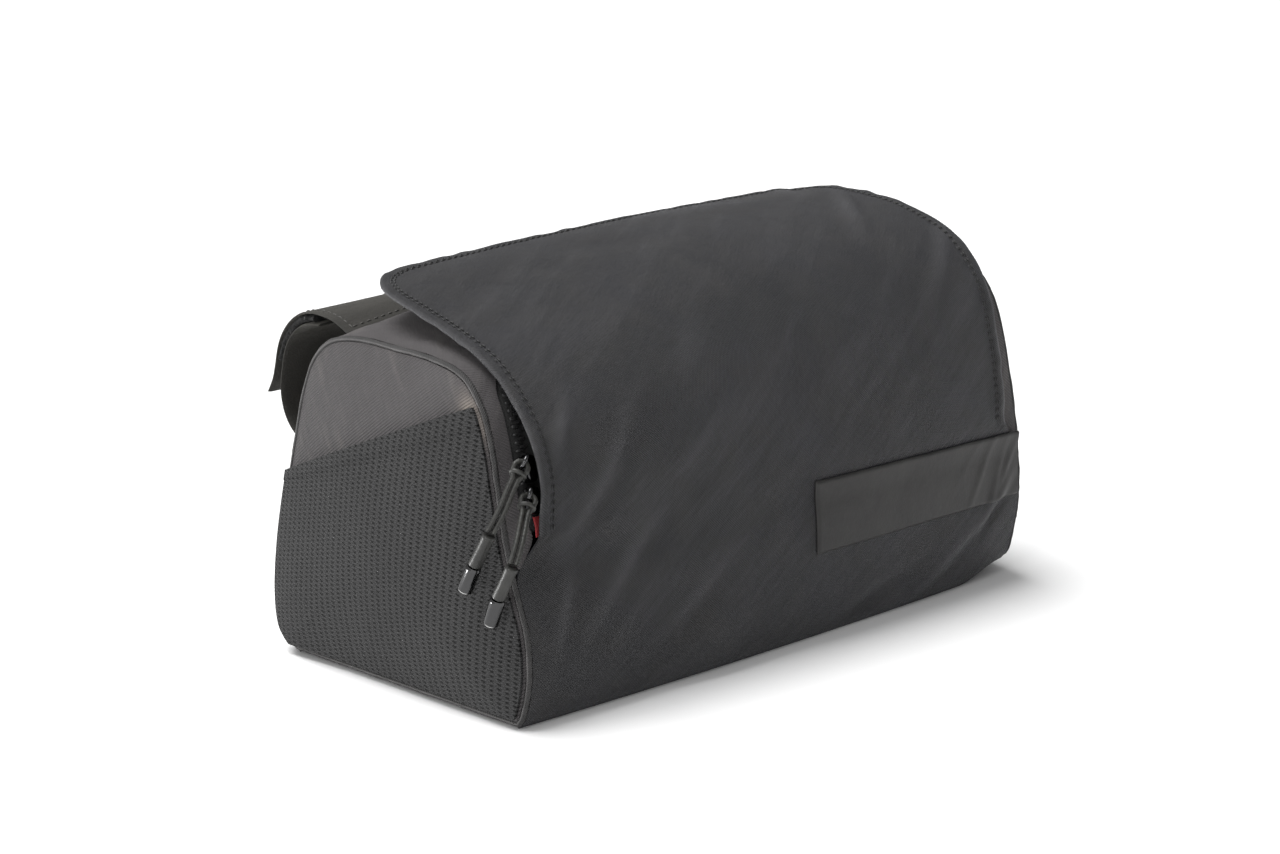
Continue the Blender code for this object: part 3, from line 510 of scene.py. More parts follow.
def sheet_faces(rows, columns):
    """Faces of a closed sheet: outer and inner grid, and the rim between them."""
    shift = rows * columns
    low = (np.arange(rows - 1)[:, None] * columns + np.arange(columns - 1)).ravel()
    cell = np.stack((low, low + 1, low + columns + 1, low + columns), axis=1)
    faces = cell.tolist() + (cell[:, ::-1] + shift).tolist()
    rim = list(range(columns))
    rim += [row * columns + columns - 1 for row in range(1, rows)]
    rim += [(rows - 1) * columns + column for column in reversed(range(columns - 1))]
    rim += [row * columns for row in reversed(range(1, rows - 1))]
    faces += [(a, a + shift, b + shift, b) for a, b in zip(rim, rim[1:] + rim[:1])]
    return faces


def add_sheet(name, outer, flat, thickness, look, normals, painted_highlight_and_wear=None, **facts):
    """Closed cloth wall from its outer grid."""
    if painted_highlight_and_wear is not None:
        facts["painted_highlight_and_wear"] = np.concatenate((painted_highlight_and_wear.ravel(), painted_highlight_and_wear.ravel()))
    rows, columns = outer.shape[:2]
    thickness = np.broadcast_to(thickness, (rows, columns))[..., None]
    inner = outer - normals * thickness
    points = np.concatenate((outer.reshape(-1, 3), inner.reshape(-1, 3)))
    places = np.concatenate((flat.reshape(-1, 2), flat.reshape(-1, 2)))
    return add_mesh(name, points, sheet_faces(rows, columns), look, flat=places, **facts)


def grid_normals(grid):
    """Unit normals of a grid of points."""
    down, across = np.gradient(grid, axis=(0, 1))
    return unit(np.cross(across, down))


def tube(line, radius, sides, closed=False, up=None, shares=None):
    """Points and faces of a tube along a line. Radius is one number or one for each ring and side."""
    line = np.asarray(line, float)
    count = len(line)
    if closed:
        along = unit(np.roll(line, -1, axis=0) - np.roll(line, 1, axis=0))
    else:
        along = unit(np.gradient(line, axis=0))
    if up is None:
        aside = np.zeros_like(line)
        aside[0] = unit(np.cross(along[0], (0.31, 0.52, 0.79)))
        for index in range(1, count):
            kept = aside[index - 1] - along[index] * (aside[index - 1] @ along[index])
            aside[index] = kept / np.linalg.norm(kept)
    else:
        aside = unit(np.cross(along, np.broadcast_to(up, line.shape)))
    out = np.cross(aside, along)
    angles = np.linspace(0.0, 2.0 * math.pi, sides, endpoint=False)
    spokes = aside[:, None] * np.cos(angles)[:, None] + out[:, None] * np.sin(angles)[:, None]
    radius = np.broadcast_to(radius, (count, sides))[..., None]
    points = (line[:, None] + spokes * radius).reshape(-1, 3)
    rings = count if closed else count - 1
    faces = []
    for ring in range(rings):
        low = ring * sides
        high = (ring + 1) % count * sides
        for side in range(sides):
            after = (side + 1) % sides
            faces.append((low + side, low + after, high + after, high + side))
    if not closed:
        faces.append(tuple(range(sides)))
        faces.append(tuple((count - 1) * sides + side for side in range(sides)))
    lengths = np.concatenate(((0.0,), np.cumsum(np.linalg.norm(np.diff(line, axis=0), axis=1))))
    flat = np.stack(np.broadcast_arrays(
        lengths[:, None], np.linspace(0.0, 1.0, sides)[None] * 0.004), axis=-1)
    return points, faces, flat.reshape(-1, 2)


def walk(line, pitch):
    """Places at even steps along a line, with directions."""
    lengths = np.concatenate(((0.0,), np.cumsum(np.linalg.norm(np.diff(line, axis=0), axis=1))))
    count = max(int(lengths[-1] / pitch), 1)
    marks = (np.arange(count) + 0.5) * lengths[-1] / count
    places = np.stack([np.interp(marks, lengths, line[:, axis]) for axis in range(3)], axis=-1)
    ahead = np.stack([np.interp(marks + pitch * 0.3, lengths, line[:, axis]) for axis in range(3)], -1)
    behind = np.stack([np.interp(marks - pitch * 0.3, lengths, line[:, axis]) for axis in range(3)], -1)
    return places, unit(ahead - behind), marks / lengths[-1]


def stitch_mesh(name, lines, look, slot, pitch=STITCH_PITCH, length=STITCH_LENGTH,
                radius=THREAD_RADIUS):
    """Rows of small thread stitches. Each line is a run of points with its outward normals."""
    profile = ((-0.5, 0.35), (-0.3, 0.95), (0.0, 1.1), (0.3, 0.95), (0.5, 0.35))
    sides = 5
    points = []
    faces = []
    for line, normals in lines:
        places, along, shares = walk(line, pitch)
        picked = np.clip((shares * (len(line) - 1)).round().astype(int), 0, len(line) - 1)
        out = unit(normals[picked])
        for place, forward, up in zip(places, along, out):
            aside = np.cross(forward, up)
            start = len(points)
            for reach, width in profile:
                arch = radius * 0.9 * (1.0 - (2.0 * reach) ** 2)
                for side in range(sides):
                    angle = 2.0 * math.pi * side / sides
                    points.append(place + forward * reach * length + up * (arch + radius * width
                                  * math.sin(angle)) + aside * radius * width * math.cos(angle))
            for ring in range(len(profile) - 1):
                for side in range(sides):
                    low = start + ring * sides
                    after = (side + 1) % sides
                    faces.append((low + side, low + after, low + sides + after, low + sides + side))
            faces.append(tuple(start + side for side in range(sides)))
            faces.append(tuple(start + (len(profile) - 1) * sides + side for side in range(sides)))
    return add_mesh(name, points, faces, look, slot=slot)


# Materials

class Look:
    """A Principled material with helpers for its nodes."""

    def __init__(self, name, roughness, metallic=0.0):
        self.material = bpy.data.materials.new(name)
        self.material.use_nodes = True
        self.tree = self.material.node_tree
        self.shader = self.tree.nodes["Principled BSDF"]
        self.shader.inputs["Roughness"].default_value = roughness
        self.shader.inputs["Metallic"].default_value = metallic

    def node(self, kind, settings=None, **inputs):
        """Add a node, with its settings, and set or link its inputs."""
        made = self.tree.nodes.new(kind)
        for name, value in (settings or {}).items():
            setattr(made, name, value)
        for name, value in inputs.items():
            self.put(made.inputs[name.replace("_", " ")], value)
        return made

    def put(self, socket, value):
        """Set a socket, or link it."""
        if isinstance(value, bpy.types.NodeSocket):
            self.tree.links.new(value, socket)
        else:
            socket.default_value = value

    def maths(self, operation, first, second=0.0, third=0.0):
        """One maths node's result."""
        made = self.node("ShaderNodeMath", {"operation": operation})
        for socket, value in zip(made.inputs, (first, second, third)):
            self.put(socket, value)
        return made.outputs[0]

    def flat(self):
        """Flat place on the cloth, in metres: x and y outputs."""
        place = self.node("ShaderNodeUVMap", {"uv_map": "flat"})
        parts = self.node("ShaderNodeSeparateXYZ", Vector=place.outputs[0])
        return place.outputs[0], parts.outputs[0], parts.outputs[1]

    def painted_highlight_and_wear(self):
        """Painted highlight and wear of the mesh's vertices, from 0 to 1."""
        return self.node("ShaderNodeAttribute", {"attribute_name": "painted_highlight_and_wear"}).outputs["Fac"]

    def turned(self, degrees, length, width):
        """Flat place turned and squeezed, so that noise on it runs in streaks."""
        place, _, _ = self.flat()
        made = self.node("ShaderNodeMapping", {"vector_type": "TEXTURE"}, Vector=place)
        made.inputs["Rotation"].default_value = (0.0, 0.0, math.radians(degrees))
        made.inputs["Scale"].default_value = (length, width, 1.0)
        return made.outputs[0]

    def noise(self, size, detail=3.0, roughness=0.55, vector=None, seed=0.0):
        """Noise with lumps of a size in metres, from 0 to 1."""
        if vector is None:
            vector = self.node("ShaderNodeTexCoord").outputs["Object"]
        shifted = self.node("ShaderNodeVectorMath", {"operation": "ADD"})
        self.put(shifted.inputs[0], vector)
        shifted.inputs[1].default_value = (seed, seed * 0.7, seed * 1.3)
        made = self.node("ShaderNodeTexNoise", Vector=shifted.outputs[0], Scale=1.0 / size,
                         Detail=detail, Roughness=roughness)
        return made.outputs[0]

    def ramp(self, value, *stops):
        """Colour ramp through (position, colour) stops."""
        made = self.node("ShaderNodeValToRGB", Fac=value)
        elements = made.color_ramp.elements
        while len(elements) < len(stops):
            elements.new(0.5)
        for element, (position, colour) in zip(elements, stops):
            element.position = position
            element.color = (*colour, 1.0) if len(colour) == 3 else colour
        return made.outputs[0]

    def ridges(self, along_x, along_y, pitch_x, pitch_y, phase=0.0):
        """Sine ridges over the plane, from -1 to 1, with a pitch along each axis."""
        first = self.maths("MULTIPLY", along_x, 2.0 * math.pi / pitch_x if pitch_x else 0.0)
        second = self.maths("MULTIPLY_ADD", along_y, 2.0 * math.pi / pitch_y if pitch_y else 0.0, first)
        return self.maths("SINE", self.maths("ADD", second, phase))

    def relief(self, *layers):
        """Bump the surface by (height value, distance in metres) layers."""
        normal = None
        for value, distance in layers:
            made = self.node("ShaderNodeBump", Height=value, Distance=distance, Strength=1.0)
            if normal is not None:
                self.put(made.inputs["Normal"], normal)
            normal = made.outputs[0]
        self.put(self.shader.inputs["Normal"], normal)

    def blend(self, share, low, high):
        """Mix two colours."""
        made = self.node("ShaderNodeMix", {"data_type": "RGBA"})
        self.put(made.inputs[0], share)
        self.put(made.inputs[6], low if isinstance(low, bpy.types.NodeSocket) else (*low, 1.0))
        self.put(made.inputs[7], high if isinstance(high, bpy.types.NodeSocket) else (*high, 1.0))
        return made.outputs[2]

    def sheen(self, weight, roughness=0.4, tint=(1.0, 1.0, 1.0)):
        """Cloth sheen."""
        self.shader.inputs["Sheen Weight"].default_value = weight
        self.shader.inputs["Sheen Roughness"].default_value = roughness
        self.shader.inputs["Sheen Tint"].default_value = (*tint, 1.0)


def front_cloth():
    """Charcoal coated twill with a soft sheen and faint brown and blue patches, plus painted sheen streaks and
    painted highlights on the crease ridges.
    """
    look = Look("front_cloth", 0.62)
    _, u, v = look.flat()
    twill = look.ridges(u, v, 0.00085, 0.00085)
    threads = look.ridges(u, v, 0.00042, -0.00055)
    broad = look.noise(0.045, 4.0)
    patches = look.noise(0.014, 5.0, 0.65, seed=3.0)
    fine = look.noise(0.0012, 3.0, 0.7, seed=7.0)
    streaks = look.noise(1.0, 4.0, 0.6, look.turned(35.0, 0.055, 0.011), seed=1.0)
    base = look.ramp(broad, (0.32, (0.015, 0.015, 0.016)), (0.52, (0.022, 0.022, 0.024)),
                     (0.70, (0.032, 0.032, 0.037)))
    dusty = look.ramp(patches, (0.42, (0.0, 0.0, 0.0)), (0.72, (1.0, 1.0, 1.0)))
    colour = look.blend(look.maths("MULTIPLY", dusty, 0.75), base, (0.044, 0.041, 0.038))
    # Painted sheen: lighter diagonal streaks in the colour
    painted_sheen_streaks = look.ramp(streaks, (0.52, (0.0, 0.0, 0.0)), (0.74, (1.0, 1.0, 1.0)))
    colour = look.blend(look.maths("MULTIPLY", painted_sheen_streaks, 0.85), colour, (0.062, 0.061, 0.064))
    lines = look.maths("MULTIPLY_ADD", twill, 0.5, 0.5)
    colour = look.blend(look.maths("MULTIPLY", fine, 0.45), colour, (0.050, 0.049, 0.050))
    colour = look.blend(look.maths("MULTIPLY", lines, 0.70), colour, (0.009, 0.009, 0.010))
    # Painted highlight on the crease ridges, with real wear along the flap's free edge, from the vertex attribute
    colour = look.blend(look.painted_highlight_and_wear(), colour, (0.090, 0.089, 0.094))
    look.put(look.shader.inputs["Base Color"], colour)
    rough = look.maths("MULTIPLY_ADD", patches, 0.30, 0.34)
    look.put(look.shader.inputs["Roughness"], rough)
    look.shader.inputs["Specular IOR Level"].default_value = 0.34
    look.sheen(0.08, 0.40, (0.86, 0.88, 1.0))
    look.relief((twill, 0.00010), (threads, 0.00003), (fine, 0.00012), (patches, 0.0008),
                (streaks, 0.0014))
    return look.material


def body_cloth():
    """Warm grey fine weave of the ends, top and back."""
    look = Look("body_cloth", 0.70)
    _, u, v = look.flat()
    twill = look.ridges(u, v, 0.0015, 0.00115)
    broad = look.noise(0.030, 4.0, seed=2.0)
    fine = look.noise(0.0010, 3.0, 0.7, seed=5.0)
    base = look.ramp(broad, (0.30, (0.054, 0.050, 0.052)), (0.70, (0.080, 0.074, 0.076)))
    lines = look.maths("MULTIPLY_ADD", twill, 0.5, 0.5)
    colour = look.blend(look.maths("MULTIPLY", lines, 0.45), base, (0.030, 0.028, 0.029))
    colour = look.blend(look.maths("MULTIPLY", fine, 0.25), colour, (0.105, 0.099, 0.099))
    # Painted sheen: lighter diagonal streaks in the colour
    streaks = look.noise(1.0, 4.0, 0.6, look.turned(55.0, 0.030, 0.006), seed=1.0)
    painted_sheen_streaks = look.ramp(streaks, (0.55, (0.0, 0.0, 0.0)), (0.78, (1.0, 1.0, 1.0)))
    colour = look.blend(look.maths("MULTIPLY", painted_sheen_streaks, 0.5), colour, (0.135, 0.125, 0.118))
    # Painted highlight: light beige patch on the end walls' crease bulge, from the vertex attribute
    colour = look.blend(look.painted_highlight_and_wear(), colour, (0.270, 0.235, 0.205))
    look.put(look.shader.inputs["Base Color"], colour)
    look.shader.inputs["Specular IOR Level"].default_value = 0.30
    look.sheen(0.10, 0.40, (1.0, 0.95, 0.94))
    look.relief((twill, 0.00008), (fine, 0.00008), (streaks, 0.0006), (broad, 0.0005))
    return look.material


def pocket_mesh():
    """Dark stretch mesh: fine ribs with staggered rows of small holes, the holes painted near black as painted
    shade.
    """
    look = Look("pocket_mesh", 0.72)
    _, u, v = look.flat()
    column = look.maths("DIVIDE", u, 0.00284)
    lane = look.maths("FLOOR", column)
    shift = look.maths("MULTIPLY", look.maths("MODULO", look.maths("ADD", lane, 400.0), 2.0), 0.5)
    row = look.maths("FRACT", look.maths("ADD", look.maths("DIVIDE", v, 0.00146), shift))
    inside = look.maths("FRACT", column)
    tilt = look.maths("MULTIPLY", look.maths("SUBTRACT", inside, 0.5), -0.40)
    away_x = look.maths("MULTIPLY", look.maths("SUBTRACT", inside, 0.5), 2.6)
    away_y = look.maths("MULTIPLY", look.maths("ADD", look.maths("SUBTRACT", row, 0.5), tilt), 3.1)
    far = look.maths("SQRT", look.maths("ADD", look.maths("MULTIPLY", away_x, away_x),
                                        look.maths("MULTIPLY", away_y, away_y)))
    solid = look.ramp(far, (0.42, (0.0, 0.0, 0.0)), (0.86, (1.0, 1.0, 1.0)))
    ribs = look.ridges(u, v, 0.0, 0.00073)
    knit = look.ridges(u, v, 0.00142, 0.00146)
    fine = look.noise(0.0009, 2.0, 0.7, seed=9.0)
    broad = look.noise(0.03, 3.0, seed=4.0)
    base = look.ramp(broad, (0.3, (0.036, 0.036, 0.037)), (0.7, (0.048, 0.048, 0.049)))
    colour = look.blend(look.maths("MULTIPLY_ADD", ribs, 0.32, 0.34), base, (0.010, 0.010, 0.010))
    colour = look.blend(look.maths("MULTIPLY", fine, 0.5), colour, (0.062, 0.061, 0.061))
    # Painted shade: the holes are coloured near black as the shade behind the mesh
    colour = look.blend(solid, (0.002, 0.002, 0.002), colour)
    look.put(look.shader.inputs["Base Color"], colour)
    look.shader.inputs["Specular IOR Level"].default_value = 0.20
    look.sheen(0.04, 0.4)
    look.relief((solid, 0.00040), (ribs, 0.00012), (knit, 0.00006), (fine, 0.00006))
    return look.material


def seam_binding():
    """Rolled self cloth of the end seams."""
    look = Look("seam_binding", 0.72)
    _, u, v = look.flat()
    twill = look.ridges(u, v, 0.0008, 0.0008)
    fine = look.noise(0.0012, 3.0, 0.7)
    broad = look.noise(0.010, 3.0, seed=6.0)
    base = look.ramp(broad, (0.3, (0.018, 0.018, 0.018)), (0.7, (0.036, 0.034, 0.034)))
    colour = look.blend(look.maths("MULTIPLY_ADD", twill, 0.18, 0.2), base, (0.010, 0.010, 0.010))
    # Painted highlight along the roll's outward crest, patchy with the broad noise
    crest = look.maths("MULTIPLY", look.painted_highlight_and_wear(), look.maths("MULTIPLY_ADD", broad, 0.9, 0.35))
    colour = look.blend(crest, colour, (0.120, 0.115, 0.115))
    look.put(look.shader.inputs["Base Color"], colour)
    look.sheen(0.15, 0.35, (1.0, 0.96, 0.95))
    look.relief((twill, 0.00005), (fine, 0.00010), (broad, 0.0006))
    return look.material


def woven_tape(name, colour, second, pitch=0.0007, roughness=0.8, sheen=0.15):
    """Plain woven tape or webbing."""
    look = Look(name, roughness)
    _, u, v = look.flat()
    over = look.ridges(u, v, pitch, 0.0)
    under = look.ridges(u, v, 0.0, pitch)
    weave = look.maths("MULTIPLY", over, under)
    fine = look.noise(0.0012, 4.0, 0.7)
    broad = look.noise(0.02, 3.0, seed=2.0)
    base = look.blend(broad, colour, second)
    dark = [channel * 0.5 for channel in colour]
    mixed = look.blend(look.maths("MULTIPLY_ADD", weave, 0.25, 0.3), base, dark)
    look.put(look.shader.inputs["Base Color"], mixed)
    look.sheen(sheen, 0.5)
    look.relief((weave, 0.00006), (fine, 0.00010))
    return look.material


def strap_cloth():
    """Brushed loop face of the bar straps: dark olive brown with a short nap."""
    look = Look("strap_cloth", 0.88)
    fine = look.noise(0.0007, 4.0, 0.75)
    clumps = look.noise(0.004, 4.0, 0.65, seed=3.0)
    broad = look.noise(0.03, 3.0, seed=8.0)
    base = look.ramp(broad, (0.3, (0.018, 0.017, 0.015)), (0.7, (0.033, 0.031, 0.027)))
    colour = look.blend(look.maths("MULTIPLY", clumps, 0.35), base, (0.050, 0.047, 0.041))
    look.put(look.shader.inputs["Base Color"], colour)
    look.sheen(0.16, 0.35, (0.95, 0.92, 0.82))
    look.relief((fine, 0.00022), (clumps, 0.0004))
    return look.material


def hook_pile():
    """Black hook pile with specks of pale lint."""
    look = Look("strap_hook_pile", 0.95)
    tufts = look.noise(0.0009, 3.0, 0.8)
    lint = look.noise(0.0016, 5.0, 0.8, seed=12.0)
    specks = look.ramp(lint, (0.60, (0.0, 0.0, 0.0)), (0.66, (1.0, 1.0, 1.0)))
    colour = look.blend(specks, (0.006, 0.006, 0.006), (0.10, 0.10, 0.095))
    look.put(look.shader.inputs["Base Color"], colour)
    look.relief((tufts, 0.0006))
    return look.material


def band_rubber():
    """Matt moulded rubber with a fine grain and slight rubbing marks."""
    look = Look("band_rubber", 0.46)
    grain = look.noise(0.0006, 3.0, 0.6)
    marks = look.noise(0.012, 5.0, 0.65, seed=4.0)
    colour = look.ramp(marks, (0.35, (0.017, 0.016, 0.016)), (0.65, (0.027, 0.026, 0.025)))
    look.put(look.shader.inputs["Base Color"], colour)
    rough = look.maths("MULTIPLY_ADD", marks, 0.22, 0.34)
    look.put(look.shader.inputs["Roughness"], rough)
    look.shader.inputs["Specular IOR Level"].default_value = 0.30
    look.relief((grain, 0.00004), (marks, 0.0003))
    return look.material


def pull_cord():
    """Dark braided cord with olive flecks."""
    look = Look("pull_cord", 0.42)
    fine = look.noise(0.0004, 3.0, 0.7)
    flecks = look.noise(0.0016, 4.0, 0.7, seed=5.0)
    colour = look.ramp(flecks, (0.35, (0.010, 0.010, 0.009)), (0.65, (0.030, 0.030, 0.026)))
    look.put(look.shader.inputs["Base Color"], colour)
    look.relief((fine, 0.00010))
    return look.material


def pull_sleeve():
    """Heat-shrunk sleeve: smoky olive, slightly glossy."""
    look = Look("pull_sleeve", 0.42)
    fine = look.noise(0.0007, 4.0, 0.7)
    broad = look.noise(0.004, 3.0, seed=3.0)
    colour = look.ramp(broad, (0.3, (0.011, 0.011, 0.010)), (0.7, (0.026, 0.026, 0.023)))
    look.put(look.shader.inputs["Base Color"], colour)
    rough = look.maths("MULTIPLY_ADD", fine, 0.25, 0.30)
    look.put(look.shader.inputs["Roughness"], rough)
    look.relief((fine, 0.00006))
    return look.material


def dark_metal(name="pull_metal", colour=(0.07, 0.07, 0.072), roughness=0.12):
    """Dark polished plating with faint handling marks."""
    look = Look(name, roughness, 1.0)
    marks = look.noise(0.0012, 4.0, 0.7)
    rough = look.maths("MULTIPLY_ADD", marks, 0.12, roughness - 0.04)
    look.put(look.shader.inputs["Roughness"], rough)
    shade = look.blend(marks, colour, [channel * 1.25 for channel in colour])
    _, reach, _ = look.flat()
    end = look.maths("GREATER_THAN", reach, CAP_LENGTH - 0.00045)
    shade = look.blend(end, shade, (0.50, 0.50, 0.49))
    look.put(look.shader.inputs["Base Color"], shade)
    return look.material


def nylon_teeth():
    """Black nylon coil."""
    look = Look("zip_teeth_nylon", 0.35)
    marks = look.noise(0.0015, 3.0)
    colour = look.blend(marks, (0.010, 0.010, 0.010), (0.024, 0.024, 0.025))
    look.put(look.shader.inputs["Base Color"], colour)
    return look.material


def red_ribbon():
    """Red woven ribbon of the zip's end tab."""
    return woven_tape("end_tab_cloth", (0.42, 0.012, 0.018), (0.30, 0.008, 0.012), 0.0005, 0.65, 0.2)


def thread_look(name, colour):
    """Sewing thread."""
    look = Look(name, 0.6)
    twist = look.noise(0.0004, 2.0)
    shade = look.blend(twist, colour, [channel * 1.8 for channel in colour])
    look.put(look.shader.inputs["Base Color"], shade)
    look.sheen(0.2, 0.4)
    return look.material


def floor_look():
    """Plain pale floor."""
    look = Look("floor", 0.9)
    look.shader.inputs["Base Color"].default_value = (0.96, 0.96, 0.96, 1.0)
    look.shader.inputs["Specular IOR Level"].default_value = 0.1
    return look.material


# Front and flap

def flap_grid():
    """Rows and shares of the front panel's grid."""
    dense = 0.020
    girths = np.concatenate((
        np.linspace(0.0, END_GIRTH - dense, 176)[:-1],
        END_GIRTH - dense * (1.0 - np.sin(np.linspace(0.0, math.pi * 0.5, 26))),
    ))
    rows = row_at(girths)
    left = front_edge(rows, FLAP_TAPERS[0])
    right = front_edge(rows, FLAP_TAPERS[1])
    steps = np.linspace(0.0, 1.0, 150)
    drawn = (1.0 + DRAWN_IN * (1.0 - flap_freedom(rows)))[:, None]
    shares = (-left[:, None] + (left + right)[:, None] * steps) * drawn
    return np.broadcast_to(rows[:, None], shares.shape), shares


def edge_distance(shares, rows):
    """Distance from the flap's free edge, large where the front is sewn."""
    full = half_length(wall(shares, rows)[..., 2]) - SEAM_CLEARANCE
    to_end = END_GIRTH - girth_at(rows)
    nearest = np.full(shares.shape, 1.0)
    for sign, taper in ((-1.0, FLAP_TAPERS[0]), (1.0, FLAP_TAPERS[1])):
        reach = front_edge(rows, taper, corner=False) * full
        away = reach - sign * shares * full
        inner_x = np.maximum(FLAP_CORNER_RADIUS - away, 0.0)
        inner_y = np.maximum(FLAP_CORNER_RADIUS - to_end, 0.0)
        corner = FLAP_CORNER_RADIUS - np.hypot(inner_x, inner_y)
        straight = np.minimum(away, to_end)
        both = (inner_x > 0.0) & (inner_y > 0.0)
        nearest = np.minimum(nearest, np.where(both, corner, straight))
    sewn = 1.0 - ease(rows, ROW["flap_root"] - 0.45, ROW["flap_root"] - 0.15)
    return nearest + sewn * 0.02


def front_relief(x_place, girth, distance):
    """Detail height of the front and flap over the solid's own shape."""
    height = crease_at(x_place, girth) + cloth_ripple(x_place, girth, 11)
    quiet = ease(girth, 0.0, 0.010) * (0.35 + 0.65 * ease(distance, 0.0, 0.012))
    height = height * quiet
    pucker = lattice_noise(x_place * 1.0, girth * 1.0, 0.0045, 31)
    hem = 1.0 - ease(distance, STITCH_ROWS[0] - 0.0006, STITCH_ROWS[0] + 0.0002)
    groove = np.exp(-((distance - (STITCH_ROWS[0] + STITCH_ROWS[1]) * 0.5) / 0.0009) ** 2)
    height = height + HEM_RISE * hem * (1.0 + 0.5 * pucker)
    height = height - 0.00028 * groove * (1.0 + 0.4 * pucker)
    height = height - 0.0005 * (1.0 - ease(distance, 0.0, 0.0008))
    return height + 0.00015 * pucker * (1.0 - ease(distance, 0.004, 0.014))


def front_surface(shares, rows):
    """Outer face of the dressed front and flap, with its normals."""
    base = front_point(shares, rows)
    normals = wall_normal(shares, rows)
    height = front_relief(base[..., 0], girth_at(rows), edge_distance(shares, rows))
    return base + normals * height[..., None], normals


def front_flap(look, thread):
    """Front panel and loose flap in one cloth, with its hem and stitches."""
    rows, shares = flap_grid()
    outer, normals = front_surface(shares, rows)
    distance = edge_distance(shares, rows)
    girths = girth_at(rows)
    flat = np.stack((outer[..., 0], girths), axis=-1)
    thickness = CLOTH - 0.0008 * (1.0 - ease(distance, 0.0, 0.0008))
    # Painted highlight on the crease ridges, stronger towards the back hem
    near_hem = 0.55 + 0.35 * ease(girths, 0.195, 0.215)
    painted_highlight_and_wear = np.clip(crease_at(outer[..., 0], girths) / 0.0010, 0.0, 1.0) * near_hem
    # Real wear: lighter along the flap's free edge
    painted_highlight_and_wear = painted_highlight_and_wear + 0.6 * (1.0 - ease(distance, 0.0002, 0.0011))
    made = add_sheet("front_flap", outer, flat, thickness, look, normals,
                     node="front_flap_panel", slot="front_cloth", painted_highlight_and_wear=painted_highlight_and_wear)
    stitch_mesh("flap_stitches", [flap_stitch_line(inset) for inset in STITCH_ROWS], thread,
                "front_cloth")
    return made


def flap_stitch_line(inset):
    """Line of stitches at an inset from the flap's free edge, with normals."""
    start = ROW["flap_root"] - 0.05
    run = np.linspace(girth_at(start), END_GIRTH - FLAP_CORNER_RADIUS, 110)
    left = []
    right = []
    for store, sign, taper in ((left, -1.0, FLAP_TAPERS[0]), (right, 1.0, FLAP_TAPERS[1])):
        rows = row_at(run)
        full = half_length(wall(sign, rows)[..., 2]) - SEAM_CLEARANCE
        share = sign * (front_edge(rows, taper, corner=False) - inset / full)
        store.append(np.stack((share, rows), axis=-1))
        angles = np.linspace(0.0, math.pi * 0.5, 24)[1:]
        radius = FLAP_CORNER_RADIUS - inset
        turn_girth = END_GIRTH - FLAP_CORNER_RADIUS + radius * np.sin(angles)
        turn_rows = row_at(turn_girth)
        full = half_length(wall(sign, turn_rows)[..., 2]) - SEAM_CLEARANCE
        reach = front_edge(turn_rows, taper, corner=False) * full - FLAP_CORNER_RADIUS
        turn_share = sign * (reach + radius * np.cos(angles)) / full
        store.append(np.stack((turn_share, turn_rows), axis=-1))
    left_line = np.concatenate(left)
    right_line = np.concatenate(right)
    top_row = left_line[-1, 1]
    top = np.linspace(left_line[-1, 0], right_line[-1, 0], 120)[1:-1]
    top_line = np.stack((top, np.full(len(top), top_row)), axis=-1)
    line = np.concatenate((left_line, top_line, right_line[::-1]))
    outer, normals = front_surface(line[:, 0], line[:, 1])
    return outer, normals


# Gusset and zip

def zip_arm():
    """Distance from the middle to the zip's line where it runs beside an end."""
    return top_reach() - ZIP_GUSSET


def zip_line(density=1):
    """Left half of the zip's line on the flat body: distance from the middle, and girth."""
    full = top_reach()
    top = girth_at(ZIP_TOP_ROW)
    arm = zip_arm()
    feet = np.linspace(ZIP_FOOT_ROW, ROW["flap_root"], 3 * density + 1)
    foot = np.stack((full * front_edge(feet, 0.0) + 2.0 * GAP, girth_at(feet)), axis=-1)
    bend = top - ZIP_CORNER_RADIUS
    runs = np.linspace(mix(foot[-1, 1], bend, 0.2), bend, 4 * density + 1)
    straight = np.stack((np.full(len(runs), arm), runs), axis=-1)
    angles = np.linspace(0.0, math.pi * 0.5, 8 * density + 1)[1:]
    turn = np.stack((arm - ZIP_CORNER_RADIUS * (1.0 - np.cos(angles)),
                     bend + ZIP_CORNER_RADIUS * np.sin(angles)), axis=-1)
    across = np.linspace(arm - ZIP_CORNER_RADIUS, 0.0, 6 * density + 1)[1:]
    flat = np.stack((across, np.full(len(across), top)), axis=-1)
    return np.concatenate((foot, straight, turn, flat)), len(foot) + len(straight) - 1


def on_wall(places, side, offset=0.0):
    """Points on the body for flat places, at an offset outward, with normals."""
    across = side * places[..., 0] / top_reach()
    row = row_at(places[..., 1])
    normals = wall_normal(across, row)
    return wall(across, row) + normals * np.asarray(offset)[..., None], normals


def two_sides(left, right):
    """Join a left run of grid rows with the right one, which runs back."""
    return np.concatenate((left, right[::-1][1:]))


